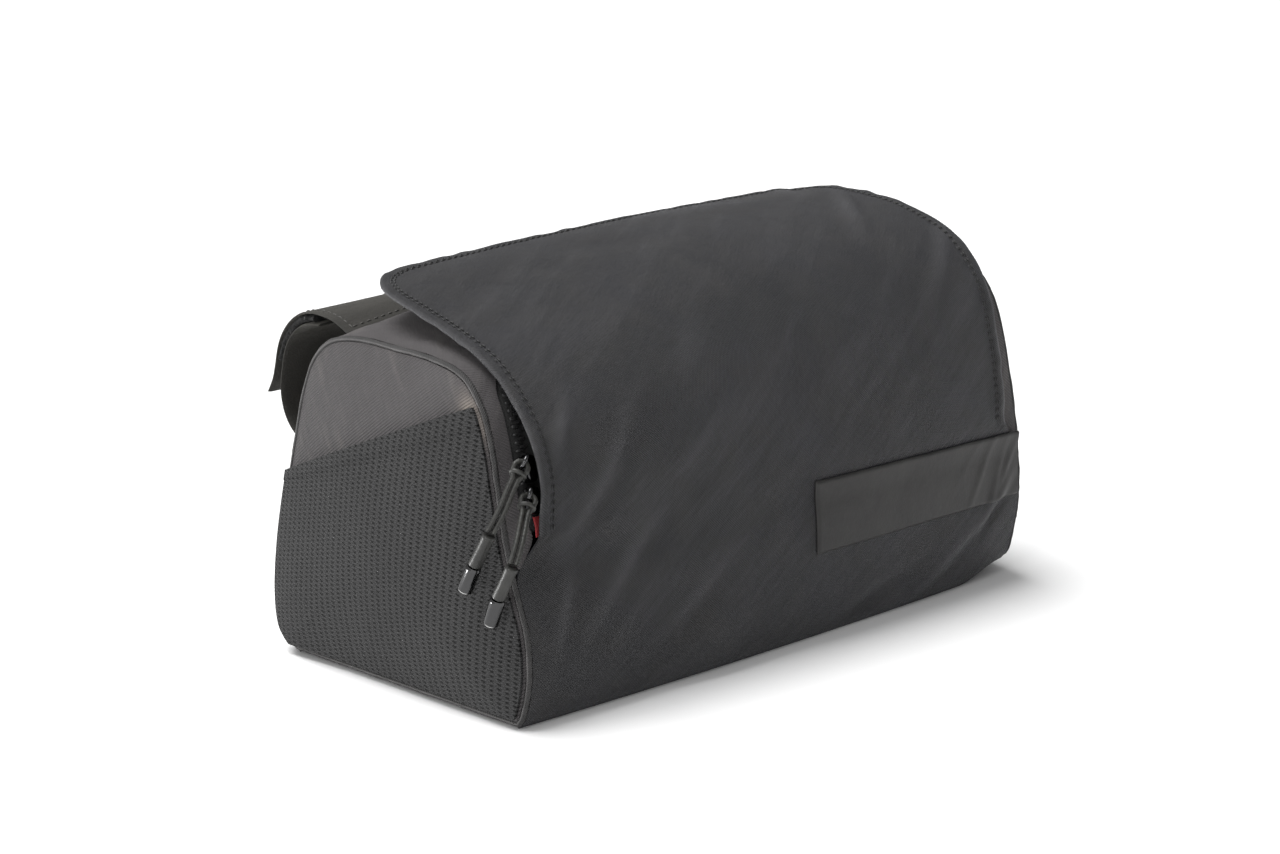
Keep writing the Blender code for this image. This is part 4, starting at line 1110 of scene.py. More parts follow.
def gusset(look):
    """Top wall under the flap with its soft folds beside the end seams."""
    density = 5
    line, bend_start = zip_line(density)
    bend_end = bend_start + 8 * density
    full = top_reach() * (1.0 + DRAWN_IN)
    back = girth_at(BACK_SEAM_ROW)
    outside = np.empty_like(line)
    outside[:bend_start + 1] = np.stack((np.full(bend_start + 1, full), line[:bend_start + 1, 1]), -1)
    outside[bend_start:bend_end + 1] = np.stack((
        np.full(8 * density + 1, full),
        np.linspace(line[bend_start, 1], back, 8 * density + 1)), axis=-1)
    top_run = line[bend_end:]
    outside[bend_end:] = np.stack((full * top_run[:, 0] / top_run[0, 0],
                                   np.full(len(top_run), back)), axis=-1)
    shares = np.linspace(0.0, 1.0, 34)[None, :, None]
    flat = mix(outside[:, None], line[:, None], shares)
    grids = []
    for side in (-1.0, 1.0):
        points, normals = on_wall(flat, side)
        x_place = side * flat[..., 0]
        girth = flat[..., 1]
        away = full - flat[..., 0]
        ripple = cloth_ripple(x_place, girth, 51, 0.0003)
        ripple = ripple + 0.0006 * np.sin(girth / 0.0042 + 5.0 * x_place / 0.01) * np.exp(
            -((away - 0.010) / 0.007) ** 2) * lattice_noise(x_place, girth, 0.012, 55)
        calm = ease(away, 0.0, 0.003)
        grids.append((points + normals * (ripple * calm)[..., None], normals,
                      np.stack((x_place, girth), axis=-1)))
    outer, normals, places = (two_sides(a, b) for a, b in zip(*grids))
    add_sheet("top_gusset", outer, places, CLOTH, look, normals,
              node="top_gusset_panel", slot="body_cloth")


def tape_line(density):
    """Zip's line from the flap's root on."""
    line, _ = zip_line(density)
    return line[3 * density:]


def inward(line, distance):
    """Move the zip's line towards the flap's middle."""
    along = unit(np.gradient(line, axis=0))
    along[-1] = (-1.0, 0.0)
    moved = line + np.stack((-np.abs(along[:, 1]), along[:, 0]), axis=-1) * distance
    moved[:, 0] = np.maximum(moved[:, 0], 0.0)
    return moved


def zip_places(density, distance, offset):
    """Points and normals along the whole zip at a distance inside its line."""
    line = inward(tape_line(density), distance)
    left, left_normals = on_wall(line, -1.0, np.full(len(line), offset))
    right, right_normals = on_wall(line, 1.0, np.full(len(line), offset))
    return two_sides(left, right), two_sides(left_normals, right_normals)


def zip_tape(look):
    """Zip tape beside and under the chain."""
    columns = []
    for distance in np.linspace(GAP, ZIP_TAPE_WIDTH, 9):
        columns.append(zip_places(4, distance, -ZIP_TAPE_DEPTH))
    outer = np.stack([points for points, _ in columns], axis=1)
    normals = np.stack([normals for _, normals in columns], axis=1)
    rows = outer.shape[0]
    lengths = np.concatenate(((0.0,), np.cumsum(np.linalg.norm(np.diff(outer[:, 4], axis=0), axis=1))))
    across = np.broadcast_to(np.linspace(GAP, ZIP_TAPE_WIDTH, 9)[None], (rows, 9))
    flat = np.stack((across, np.broadcast_to(lengths[:, None], (rows, 9))), axis=-1)
    add_sheet("zip_tape_cloth", outer, flat, ZIP_TAPE, look, normals,
              node="zip_tape", slot="zip_tape_cloth")


def zip_chain(look):
    """Interlocked coil turns of the closed zip."""
    pitch = 0.00125
    middle, normals = zip_places(6, GAP + TEETH_INSET + TEETH_WIDTH * 0.5, GAP * 0.5)
    places, along, shares = walk(middle, pitch)
    picked = np.clip((shares * (len(middle) - 1)).round().astype(int), 0, len(middle) - 1)
    out = unit(normals[picked])
    profile = ((-1.0, 0.55), (-0.82, 0.95), (-0.2, 1.0), (0.12, 0.8))
    sides = 6
    points = []
    faces = []
    for index, (place, forward, up) in enumerate(zip(places, along, out)):
        aside = unit(np.cross(forward, up)) * (1.0 if index % 2 else -1.0)
        start = len(points)
        for reach, width in profile:
            centre = place + aside * reach * TEETH_WIDTH * 0.5 + up * TEETH_HEIGHT * 0.25
            for side in range(sides):
                angle = 2.0 * math.pi * side / sides
                points.append(centre + forward * math.cos(angle) * pitch * 0.46 * width
                              + up * math.sin(angle) * TEETH_HEIGHT * 0.45 * width)
        for ring in range(len(profile) - 1):
            for side in range(sides):
                low = start + ring * sides
                after = (side + 1) % sides
                faces.append((low + side, low + after, low + sides + after, low + sides + side))
        faces.append(tuple(start + side for side in range(sides)))
        faces.append(tuple(start + (len(profile) - 1) * sides + side for side in range(sides)))
    add_mesh("zip_chain", points, faces, look, node="zip_teeth", slot="zip_teeth_nylon")


def end_tab(look):
    """Small red ribbon folded beside the zip's foot."""
    inner = zip_arm() - TEETH_WIDTH - 0.0024
    middle = girth_at(ROW["flap_root"]) + TAB_RISE - 0.0022
    girths = np.linspace(middle - TAB_LENGTH * 0.5, middle + TAB_LENGTH * 0.5, 24)
    places = np.linspace(inner + TAB_WIDTH, inner, 12)
    flat = np.stack(np.meshgrid(places, girths), axis=-1)
    wave = 0.00025 * np.sin(girths / 0.0011)[:, None] * np.ones(12)
    outer, normals = on_wall(flat, -1.0, GAP + TEETH_HEIGHT + TAB + wave)
    add_sheet("red_tab", outer, flat, TAB, look, normals, node="zip_end_tab", slot="end_tab_cloth")


# Ends

def end_outline(side, inset, count):
    """Points round one end, inside the section by an inset: depth and height."""
    dense = np.stack(section(side, np.linspace(0.0, LAST_ROW, 401)), axis=-1)
    floor = mix(dense[-1], dense[0], np.linspace(0.0, 1.0, 40)[1:-1, None])
    closed = np.concatenate((dense, floor, dense[:1]))
    lengths = np.concatenate(((0.0,), np.cumsum(np.linalg.norm(np.diff(closed, axis=0), axis=1))))
    marks = np.linspace(0.0, lengths[-1], count, endpoint=False)
    points = np.stack([np.interp(marks, lengths, closed[:, axis]) for axis in (0, 1)], axis=-1)
    along = unit(np.roll(points, -1, axis=0) - np.roll(points, 1, axis=0))
    moved = points + np.stack((along[:, 1], -along[:, 0]), axis=-1) * inset
    moved[:, 1] = np.maximum(moved[:, 1], inset - SEAM_INSET + SEAM_CLEARANCE)
    return moved


def end_place(side, place, share, offset):
    """Points on the domed end, at an offset outward along X."""
    sign = -1.0 if side == LEFT else 1.0
    reach = half_length(place[..., 1]) + END_BULGE * (1.0 - share ** 2.5) + offset
    return np.stack((sign * reach, place[..., 0], place[..., 1]), axis=-1)


def end_share(side, places, outline):
    """How far places lie from the end's middle, as a share of the way to its outline."""
    middle = end_outline(side, 0.0, 64).mean(axis=0)
    rays = places - middle
    angles = np.arctan2(rays[..., 1], rays[..., 0])
    around = outline - middle
    bearings = np.arctan2(around[:, 1], around[:, 0])
    order = np.argsort(bearings)
    reach = np.interp(angles, bearings[order], np.linalg.norm(around, axis=1)[order],
                      period=2.0 * math.pi)
    return np.minimum(np.linalg.norm(rays, axis=-1) / reach, 1.0)


def end_wall(name, side, look):
    """Domed end wall with soft creases at its corners."""
    count = 180
    outline = end_outline(side, SEAM_INSET + SEAM_RADIUS * 0.55, count)
    middle = end_outline(side, 0.0, 64).mean(axis=0)
    shares = 1.0 - np.linspace(0.0, 0.985, 44) ** 1.15
    places = mix(middle, outline[None], shares[:, None, None])
    spread_share = np.broadcast_to(shares[:, None], places.shape[:2])
    ripple = cloth_ripple(places[..., 0], places[..., 1], 71 + side, 0.0003)
    ripple = ripple + 0.0005 * bump(places[..., 0] + 0.027, places[..., 1] - 0.090, 0.014, 0.004, 62.0)
    calm = ease(1.0 - spread_share, 0.0, 0.08)
    # Painted highlight: light beige patch on the crease bulge by the mesh's front top corner
    painted_highlight_and_wear = bump(places[..., 0] + 0.029, places[..., 1] - 0.0905, 0.0075, 0.0035, 62.0)
    painted_highlight_and_wear = painted_highlight_and_wear * (0.75 + 0.5 * lattice_noise(places[..., 0], places[..., 1], 0.003, 75 + side))
    outer = end_place(side, places, spread_share, CLOTH * 0.5 + ripple * calm)
    inner = end_place(side, places, spread_share, -CLOTH * 0.5 + 0.0 * ripple)
    rings, around = places.shape[:2]
    points = np.concatenate((outer.reshape(-1, 3), inner.reshape(-1, 3)))
    flat = np.concatenate((places.reshape(-1, 2), places.reshape(-1, 2)))
    shift = rings * around
    faces = []
    for start in (0, shift):
        for ring in range(rings - 1):
            low = start + ring * around
            for index in range(around):
                after = (index + 1) % around
                faces.append((low + index, low + after, low + around + after, low + around + index))
        faces.append(tuple(start + (rings - 1) * around + index for index in range(around)))
    for index in range(around):
        after = (index + 1) % around
        faces.append((index, after, after + shift, index + shift))
    add_mesh(name, points, faces, look, node=name.replace("wall", "panel"), slot="body_cloth",
             flat=flat, painted_highlight_and_wear=np.concatenate((painted_highlight_and_wear.ravel(), painted_highlight_and_wear.ravel())))


def outline_cut(outline, height, front):
    """Depth at which an outline crosses a height, at its front or back."""
    low = outline
    high = np.roll(outline, -1, axis=0)
    crossing = (low[:, 1] - height) * (high[:, 1] - height) <= 0.0
    crossing &= np.abs(high[:, 1] - low[:, 1]) > 1e-9
    share = (height - low[crossing, 1]) / (high[crossing, 1] - low[crossing, 1])
    depths = mix(low[crossing, 0], high[crossing, 0], share)
    return depths.min() if front else depths.max()


def mesh_pocket(name, side, look, thread):
    """Mesh layer over the lower end with a turned top edge."""
    outline = end_outline(side, SEAM_INSET + SEAM_RADIUS * 0.65, 240)
    low = outline[:, 1].min() + MESH_LIFT
    shares = np.linspace(0.0, 1.0, 90)
    grid = []
    for share in shares:
        front_height = mix(low, MESH_FRONT_SHARE * BODY_HEIGHT, share)
        back_height = mix(low, MESH_BACK_SHARE * BODY_HEIGHT, share)
        front = np.array((outline_cut(outline, front_height, True) + MESH_INSET, front_height))
        back = np.array((outline_cut(outline, back_height, False) - MESH_INSET, back_height))
        grid.append(mix(front, back, np.linspace(0.0, 1.0, 110)[:, None]))
    places = np.array(grid)
    along = np.broadcast_to(np.linspace(0.0, 1.0, 110)[None], places.shape[:2])
    spot = end_share(side, places, outline)
    room = GAP + CLOTH * 0.5 + MESH
    swell = MESH_BULGE * (1.0 - spot ** 2) + MESH_BACK_SWELL * ease(along, 0.7, 1.0)
    ripple = cloth_ripple(places[..., 0], places[..., 1], 91 + side, 0.00030)
    ripple = np.maximum(ripple, -0.0001) * ease(1.0 - spot, 0.0, 0.10)
    from_top = (1.0 - shares)[:, None] * 0.075
    hem = 0.00035 * (1.0 - ease(from_top, 0.0042, 0.0050)) * np.ones(places.shape[:2])
    outer = end_place(side, places, spot, room + swell + ripple + hem)
    normals = grid_normals(outer)
    if (normals[..., 0].mean() > 0.0) == (side == LEFT):
        normals = -normals
    tilted = np.stack((places[..., 0], places[..., 1]), axis=-1)
    add_sheet(name.replace("pocket", "net"), outer, tilted, MESH + hem, look, normals,
              node=name, slot="pocket_mesh")


def end_piping(name, side, look):
    """Rolled seam with a soft uneven roll."""
    sign = -1.0 if side == LEFT else 1.0
    outline = end_outline(side, SEAM_INSET, 420)
    line = np.stack((sign * half_length(outline[:, 1]), outline[:, 0], outline[:, 1]), axis=-1)
    lengths = np.arange(len(line)) * 0.00104
    sides = 20
    angles = np.arange(sides) * 0.0006
    wobble = lattice_noise(lengths[:, None] * np.ones(sides), angles[None] * np.ones((420, 1)),
                           0.0052, 101 + side)
    small = lattice_noise(lengths[:, None] * np.ones(sides), angles[None] * np.ones((420, 1)),
                          0.0019, 103 + side)
    window = np.minimum(ease(np.arange(420), 0, 12), ease(419 - np.arange(420), 0, 12))[:, None]
    outward = np.linspace(0.0, 2.0 * math.pi, sides, endpoint=False) - math.pi * (1.0 - 0.5 * sign)
    away = np.abs(np.sin(outward * 0.5))
    crest = np.exp(-(away / 0.13) ** 2)
    groove = np.exp(-((away - 0.36) / 0.12) ** 2)
    uneven = (0.14 * wobble + 0.09 * small) * window
    radius = SEAM_ROLL * (0.94 + 0.08 * crest - 0.16 * groove + uneven)
    points, faces, flat = tube(line, radius, sides, closed=True, up=(1.0, 0.0, 0.0))
    points[:, 2] = np.maximum(points[:, 2], 0.0)
    # The outward crest also goes to the shader as a painted highlight along the roll
    add_mesh(name.replace("seam", "piping"), points, faces, look, node=name,
             slot="seam_binding", flat=flat, painted_highlight_and_wear=crest * (1.0 + 2.0 * uneven))


# Back and base

def back_wall(look):
    """Back wall with slight waviness."""
    start = row_at(girth_at(BACK_SEAM_ROW) + GAP)
    rows, shares = np.meshgrid(np.linspace(start, LAST_ROW, 90), np.linspace(-1.0, 1.0, 120),
                               indexing="ij")
    shares = shares * (1.0 + DRAWN_IN)
    base = wall(shares, rows)
    normals = wall_normal(shares, rows)
    girth = girth_at(rows)
    calm = ease(1.0 - np.abs(shares), -DRAWN_IN, 0.05) * ease(girth - girth[0, 0], 0.0, 0.008)
    calm = calm * ease(girth[-1, 0] - girth, 0.0, 0.012)
    ripple = cloth_ripple(base[..., 0], girth, 121, 0.0004) * calm
    outer = base + normals * ripple[..., None]
    flat = np.stack((base[..., 0], girth), axis=-1)
    add_sheet("back_wall", outer, flat, CLOTH, look, normals, node="back_panel", slot="body_cloth")


def base_wall(look):
    """Flat base."""
    reach = half_length(0.0) - SEAM_CLEARANCE
    margin = CLOTH + GAP
    across = np.linspace(-1.0, 1.0, 80)
    front = wall(across, 0.0)[:, 1] + margin
    back = wall(across, float(LAST_ROW))[:, 1] - margin
    depth = mix(back[None], front[None], np.linspace(0.0, 1.0, 40)[:, None])
    x_place = np.broadcast_to(across[None] * reach, depth.shape)
    inward_share = ease(1.0 - np.abs(np.linspace(-1.0, 1.0, 40))[:, None], 0.0, 0.2)
    dish = 0.0004 * inward_share * (1.0 + lattice_noise(x_place, depth, 0.02, 131))
    outer = np.stack((x_place, depth, dish), axis=-1)
    normals = np.zeros_like(outer)
    normals[..., 2] = -1.0
    flat = np.stack((x_place, depth), axis=-1)
    add_sheet("base_wall", outer, flat, CLOTH - dish, look, normals, node="base_panel",
              slot="body_cloth")


# Band

def band_surface(shares, girths, lift):
    """Face of the band over the front cloth, with normals."""
    rows = row_at(girths)
    base = front_point(shares, rows)
    normals = wall_normal(shares, rows)
    relief = front_relief(base[..., 0], girths, np.full(np.shape(shares), 1.0))
    x_place = base[..., 0]
    right = ease(x_place, 0.070, 0.100)
    folds = 0.0
    for x, girth, length, turn, height in ((0.088, 0.040, 0.016, 62.0, 0.5), (0.097, 0.036, 0.014, 70.0, 0.45),
                                           (0.104, 0.044, 0.012, 58.0, 0.4), (0.080, 0.046, 0.014, 48.0, 0.3)):
        folds = folds + height * 0.001 * bump(x_place - x, girths - girth, length, 0.0016, turn)
    return base + normals * (relief + lift + folds * right)[..., None], normals


def side_band(look):
    """Bare rubber band with rounded rims and creases by the right seam."""
    middle = girth_at(BAND_ROW)
    start = BAND_LEFT / top_reach()
    girths = middle + np.linspace(-0.5, 0.5, 34) * BAND_WIDTH
    shares = np.linspace(start, 1.0 - GAP / top_reach(), 120)
    grid_shares, grid_girths = np.meshgrid(shares, girths)
    from_rim = BAND_WIDTH * 0.5 - np.abs(grid_girths - middle)
    from_end = (grid_shares - start) * top_reach()
    rim = ease(np.minimum(from_rim, from_end), -0.0002, 0.0009)
    outer, normals = band_surface(grid_shares, grid_girths, GAP + BAND * (0.35 + 0.65 * rim))
    flat = np.stack((outer[..., 0], grid_girths), axis=-1)
    add_sheet("rubber_band", outer, flat, BAND * (0.3 + 0.65 * rim), look, normals,
              node="side_band", slot="band_rubber")


# Straps

def path_normals(path):
    """Normals of a path in the YZ plane, pointing out of its bend."""
    along = unit(np.gradient(path, axis=0))
    return np.stack((-along[:, 1], along[:, 0]), axis=-1)


def strap_settle(x_place, depth, height):
    """How far a strap's layers drop where it starts, to lie on the sloping top wall."""
    ground = wall(x_place / top_reach(), STRAP_SEAT_ROW)
    fall = ground[..., 2].max() - ground[..., 2]
    near = 1.0 - ease(depth - ground[..., 1].min(), 0.05 * STRAP_REACH, 0.8 * STRAP_REACH)
    return (1.3 * fall + 0.0006) * near * ease(height, ground[..., 2].max() - 0.030, ground[..., 2].max() - 0.015)


def webbing(name, path, centre, thickness, look, node, slot, width=STRAP_WIDTH, sag=0.0, seed=0,
            shift=0.0, fray=0.0):
    """Flat strap along a path in the YZ plane, with slightly rounded or frayed edges."""
    columns = 40
    normals = path_normals(path)
    across = np.linspace(-0.5, 0.5, columns)
    edge = np.minimum(across + 0.5, 0.5 - across) * width
    thin = 0.25 + 0.75 * ease(edge, -0.0002, 0.0010)
    lengths = np.concatenate(((0.0,), np.cumsum(np.linalg.norm(np.diff(path, axis=0), axis=1))))
    wave = lattice_noise(lengths[:, None] * np.ones(columns), across[None] * width * np.ones((len(path), 1)),
                         0.014, 141 + seed) * sag
    half = thickness * 0.5 * thin[None] * np.ones((len(path), 1))
    place = path[:, None] + normals[:, None] * (half + wave + shift)[..., None]
    tufts = lattice_noise(lengths[:, None] * np.ones(columns), across[None] * np.ones((len(path), 1)),
                          0.0011, 151 + seed) * fray
    x_place = centre + width * across + np.sign(across) * tufts * ease(np.abs(across), 0.3, 0.5)
    height = place[..., 1] - strap_settle(x_place, place[..., 0], place[..., 1])
    outer = np.stack((x_place, place[..., 0], height), axis=-1)
    directions = np.stack((np.zeros(place.shape[:2]), np.broadcast_to(normals[:, None, 0], place.shape[:2]),
                           np.broadcast_to(normals[:, None, 1], place.shape[:2])), axis=-1)
    flat = np.stack((np.broadcast_to(across * width, place.shape[:2]),
                     np.broadcast_to(lengths[:, None], place.shape[:2])), axis=-1)
    add_sheet(name, outer, flat, half * 2.0, look, directions, node=node, slot=slot)
    return outer, directions


def strap_routes(side_sign):
    """Paths of the outer strap, the hook pad and the inner strap, and the strap's middle."""
    full = top_reach()
    centre = side_sign * (full - STRAP_INSET - STRAP_WIDTH * 0.5)
    places = np.array((centre - side_sign * STRAP_WIDTH * 0.5, centre, centre + side_sign * STRAP_WIDTH * 0.5))
    seats = wall(places / full, STRAP_SEAT_ROW)
    seat = seats[seats[:, 2].argmax()]
    clear = GAP + STRAP * 0.5
    top = np.array((seat[1], seat[2] + clear))
    foot = wall(centre / full, STRAP_FOOT_ROW)
    drop = top[1] - foot[2]

    def placed(rows):
        shares = np.array(rows)
        return top + shares * (STRAP_REACH, -drop)

    rows = placed(STRAP_OUTER_ROWS)
    last = len(rows) - 1
    outer = spline(rows, np.linspace(0.0, last, 100))

    def lapped(lap, count, depth):
        dense = spline(rows, np.linspace(lap[0] * last, lap[1] * last, count))
        return dense - path_normals(dense) * depth

    hook = lapped(HOOK_LAP, 120, (STRAP + HOOK) * 0.5 + GAP)
    inner_rows = np.concatenate((
        lapped(STRAP_LAP, 9, STRAP + HOOK + 2.0 * GAP), placed(STRAP_RETURN_ROWS),
        ((foot[1] + clear, foot[2]),)))
    inner = spline(inner_rows, np.linspace(0.0, len(inner_rows) - 1, 130))
    return outer, hook, inner, centre


def bar_strap(label, side_sign, looks):
    """Bar strap: two layers with hook pile between, and stitched edges."""
    outer, hook, inner, centre = strap_routes(side_sign)
    outer_face, outer_normals = webbing("bar_strap_" + label, outer, centre, STRAP_FACE, looks["strap"],
                                        "strap_outer_" + label, "strap_cloth", sag=0.0001,
                                        shift=STRAP_SHIFT)
    pile = HOOK + 2.0 * (GAP + STRAP_SHIFT)
    webbing("hook_pad_" + label, hook, centre, pile, looks["hook"], "strap_hook_" + label,
            "strap_hook_pile", width=STRAP_WIDTH - 0.0004, sag=0.0003, seed=4, fray=0.0007)
    inner_face, inner_normals = webbing("strap_return_" + label, inner, centre, STRAP_FACE, looks["strap"],
                                        "strap_inner_" + label, "strap_cloth", sag=0.0001, seed=8,
                                        shift=-STRAP_SHIFT)
    lines = []
    for face, normals, span in ((outer_face, outer_normals, (4, 96)), (inner_face, inner_normals, (50, 126))):
        for column in (3, -4):
            lines.append((face[span[0]:span[1], column], normals[span[0]:span[1], column]))
    lines.append((outer_face[6, 3:-3], outer_normals[6, 3:-3]))
    lines.append((inner_face[-8, 3:-3], inner_normals[-8, 3:-3]))
    stitch_mesh("strap_stitches_" + label, lines, looks["strap_thread"], "strap_cloth",
                0.0027, 0.0019, 0.0002)


# Pulls

def slider_seat(label):
    """Seat of a slider on the zip, with the directions out of the wall, up the zip and outboard."""
    distance = GAP + TEETH_INSET + TEETH_WIDTH * 0.5
    girth = girth_at(ROW["flap_root"] + SLIDER_ROWS[label])
    across = -(zip_arm() - distance) / top_reach()
    row = row_at(girth)
    out = wall_normal(across, row)
    along = unit(wall(across, row + 0.05) - wall(across, row - 0.05))
    outboard = unit(wall(across, row) - wall(across + 0.02, row))
    return wall(across, row) + out * (2.0 * GAP + TEETH_HEIGHT), out, along, outboard


def rounded_block(points, faces, centre, axes, sizes, rounding):
    """Add a block with rounded edges as a squared sphere."""
    start = len(points)
    rings = 9
    sides = 20
    for ring in range(rings):
        polar = math.pi * ring / (rings - 1)
        for side in range(sides):
            angle = 2.0 * math.pi * side / sides
            raw = np.array((math.sin(polar) * math.cos(angle), math.sin(polar) * math.sin(angle),
                            math.cos(polar)))
            shaped = np.sign(raw) * np.abs(raw) ** rounding
            points.append(centre + sum(axis * size * 0.5 * value
                                       for axis, size, value in zip(axes, sizes, shaped)))
    for ring in range(rings - 1):
        for side in range(sides):
            low = start + ring * sides
            after = (side + 1) % sides
            faces.append((low + side, low + after, low + sides + after, low + sides + side))


def slider(label, seat_frame, route, look):
    """Slider: two plates, a bridge, a tongue and the eye that the cord goes through."""
    seat, out, along, outboard = seat_frame
    across = np.cross(along, out)
    aside, rise = pull_directions(route)
    apex = route[0] + rise * EYE_TURN
    points = []
    faces = []
    axes = (across, along, out)
    rounded_block(points, faces, seat + out * SLIDER_HEIGHT * 0.28, axes,
                  (SLIDER_WIDTH, SLIDER_LENGTH, SLIDER_HEIGHT * 0.52), 0.45)
    rounded_block(points, faces, seat + out * SLIDER_HEIGHT * 0.70, axes,
                  (SLIDER_WIDTH * 0.36, SLIDER_LENGTH * 0.8, SLIDER_HEIGHT * 0.60), 0.5)
    start = seat + (out * SLIDER_HEIGHT + outboard * SLIDER_WIDTH * 0.8) * 0.5
    towards = start - apex
    in_ring = unit(towards - aside * (aside @ towards))
    end = apex + in_ring * EYE_RADIUS
    way = unit(end - start)
    wide = unit(aside - way * (way @ aside))
    rounded_block(points, faces, (start + end) * 0.5, (way, wide, np.cross(way, wide)),
                  (np.linalg.norm(end - start) * 1.15, 0.0017, 0.0012), 0.5)
    other = np.cross(aside, rise)
    angles = np.linspace(0.0, 2.0 * math.pi, 40, endpoint=False)[:, None]
    ring = apex + (rise * np.cos(angles) + other * np.sin(angles)) * EYE_RADIUS
    ring_points, ring_faces, _ = tube(ring, EYE_WIRE, 10, closed=True, up=aside)
    shift = len(points)
    points += list(ring_points)
    faces += [tuple(index + shift for index in face) for face in ring_faces]
    data = add_mesh("slider_" + label, points, faces, look, node="zip_slider_" + label,
                    slot="pull_metal", degrees=50.0)
    return data


def pull_directions(route):
    """Directions of a pull at its slider: between the two legs, and up past the turn."""
    aside = unit(np.cross(route[3] - route[0], (-1.0, -1.0, 0.0)))
    rise = unit(route[0] - route[1])
    return aside, rise


def cord_line(route):
    """Centreline of the doubled cord, from the sleeve round the eye and back."""
    steps = 44
    shares = np.linspace(0.0, 1.0, steps)
    dense = spline(route[:4], 3.0 * shares)
    dense = mix(dense, mix(route[0], route[3], shares[:, None]), 0.7)
    aside, rise = pull_directions(route)
    spacing = mix(EYE_TURN, LEG_SPACING, ease(shares, 0.0, 0.22))[:, None]
    left = dense + aside * spacing
    right = dense - aside * spacing
    angles = np.linspace(0.0, math.pi, 20)[1:-1, None]
    turn = route[0] + (aside * np.cos(angles) + rise * np.sin(angles)) * EYE_TURN
    return np.concatenate((left[::-1], turn, right))


def braided_cord(label, route, look):
    """Braided cord as a tube with crossing strands."""
    line = cord_line(route)
    lengths = np.concatenate(((0.0,), np.cumsum(np.linalg.norm(np.diff(line, axis=0), axis=1))))
    marks = np.linspace(0.0, lengths[-1], 260)
    line = np.stack([np.interp(marks, lengths, line[:, axis]) for axis in range(3)], axis=-1)
    sides = 16
    angles = np.linspace(0.0, 2.0 * math.pi, sides, endpoint=False)
    turn = marks[:, None] * 2.0 * math.pi / 0.0052
    strands = np.sin(4.0 * angles[None] + 4.0 * turn * 0.5) * np.sin(4.0 * angles[None] - 4.0 * turn * 0.5)
    radius = LEG_RADIUS * (0.97 + 0.06 * strands)
    points, faces, flat = tube(line, radius, sides)
    made = add_mesh("braid_" + label, points, faces, look, node="zip_cord_" + label,
                    slot="pull_cord", flat=flat)
    return made, line, float(lengths[-1])


def knot(label, route, look):
    """Turn of the cord round its own two legs, just below the eye."""
    aside, _ = pull_directions(route)
    along = unit(route[3] - route[0])
    other = np.cross(along, aside)
    centre = route[0] + along * KNOT_REACH
    angles = np.linspace(0.0, 2.0 * math.pi, 36, endpoint=False)[:, None]
    wide = LEG_SPACING + LEG_RADIUS + KNOT_RADIUS * 0.6
    deep = LEG_RADIUS + KNOT_RADIUS * 0.6
    ring = centre + aside * np.cos(angles) * wide + other * np.sin(angles) * deep
    ring = ring + along * np.sin(angles) * 0.0007
    points, faces, flat = tube(ring, KNOT_RADIUS, 12, closed=True, up=along)
    return add_mesh("knot_" + label, points, faces, look, slot="pull_cord", flat=flat)


def turned(name, start, along, profile, look, node, slot, squash=0.0, sides=60, degrees=40.0):
    """Turned piece along an axis from (reach, radius) pairs, squashed to an oval if asked."""
    aside = unit(np.cross(along, (0.0, 1.0, 0.0)))
    out = np.cross(aside, along)
    angles = np.linspace(0.0, 2.0 * math.pi, sides, endpoint=False)
    points = []
    for reach, radius in profile:
        shape = radius * (1.0 - squash * np.sin(angles) ** 2)
        spokes = aside * np.cos(angles)[:, None] + out * np.sin(angles)[:, None]
        points += list(start + along * reach + spokes * shape[:, None])
    faces = []
    for ring in range(len(profile) - 1):
        for side in range(sides):
            low = ring * sides
            after = (side + 1) % sides
            faces.append((low + side, low + after, low + sides + after, low + sides + side))
    faces.append(tuple(range(sides)))
    faces.append(tuple((len(profile) - 1) * sides + side for side in range(sides)))
    reaches = np.repeat([reach for reach, _ in profile], sides)
    flat = np.stack((reaches, np.zeros(len(points))), axis=-1)
    return add_mesh(name, points, faces, look, node=node, slot=slot, flat=flat, degrees=degrees)


def pull(label, looks):
    """Slider, cord, sleeve and cap of one zip pull."""
    seat_frame = slider_seat(label)
    route = seat_frame[0] + np.array(PULL_ROUTES[label])
    slider(label, seat_frame, route, looks["metal"])
    cord, line, length = braided_cord(label, route, looks["cord"])
    collar = knot(label, route, looks["cord"])
    along = unit(route[4] - route[3])
    sleeve_start = route[3] + along * SLEEVE_CLEARANCE
    half = SLEEVE_DIAMETER * 0.5
    sleeve_profile = [(0.0, half * 0.70), (0.00015, half * 0.90), (0.0005, half * 0.97),
                      (0.0014, half * 0.95), (0.0034, half * 0.90), (0.0060, half * 0.93),
                      (0.0085, half * 0.97), (0.0106, half), (0.0112, half * 0.98),
                      (SLEEVE_LENGTH, half * 0.85)]
    sleeve = turned("sleeve_" + label, sleeve_start, along, sleeve_profile, looks["sleeve"],
                    "zip_sleeve_" + label, "pull_sleeve", squash=0.10)
    cap_along = unit(route[5] - route[4])
    cap_start = sleeve_start + along * SLEEVE_LENGTH + cap_along * SLEEVE_CLEARANCE
    half = CAP_DIAMETER * 0.5
    cap_profile = [(-0.0006, half * 0.90), (0.0, half * 0.97), (0.0002, half), (0.0006, half),
                   (CAP_LENGTH - 0.0006, half), (CAP_LENGTH - 0.00025, half * 0.97),
                   (CAP_LENGTH, half * 0.88), (CAP_LENGTH - 0.0001, half * 0.60),
                   (CAP_LENGTH - 0.0002, half * 0.15)]
    cap = turned("cap_" + label, cap_start, cap_along, cap_profile, looks["cap"],
                 "zip_cap_" + label, "pull_metal")


# Stage

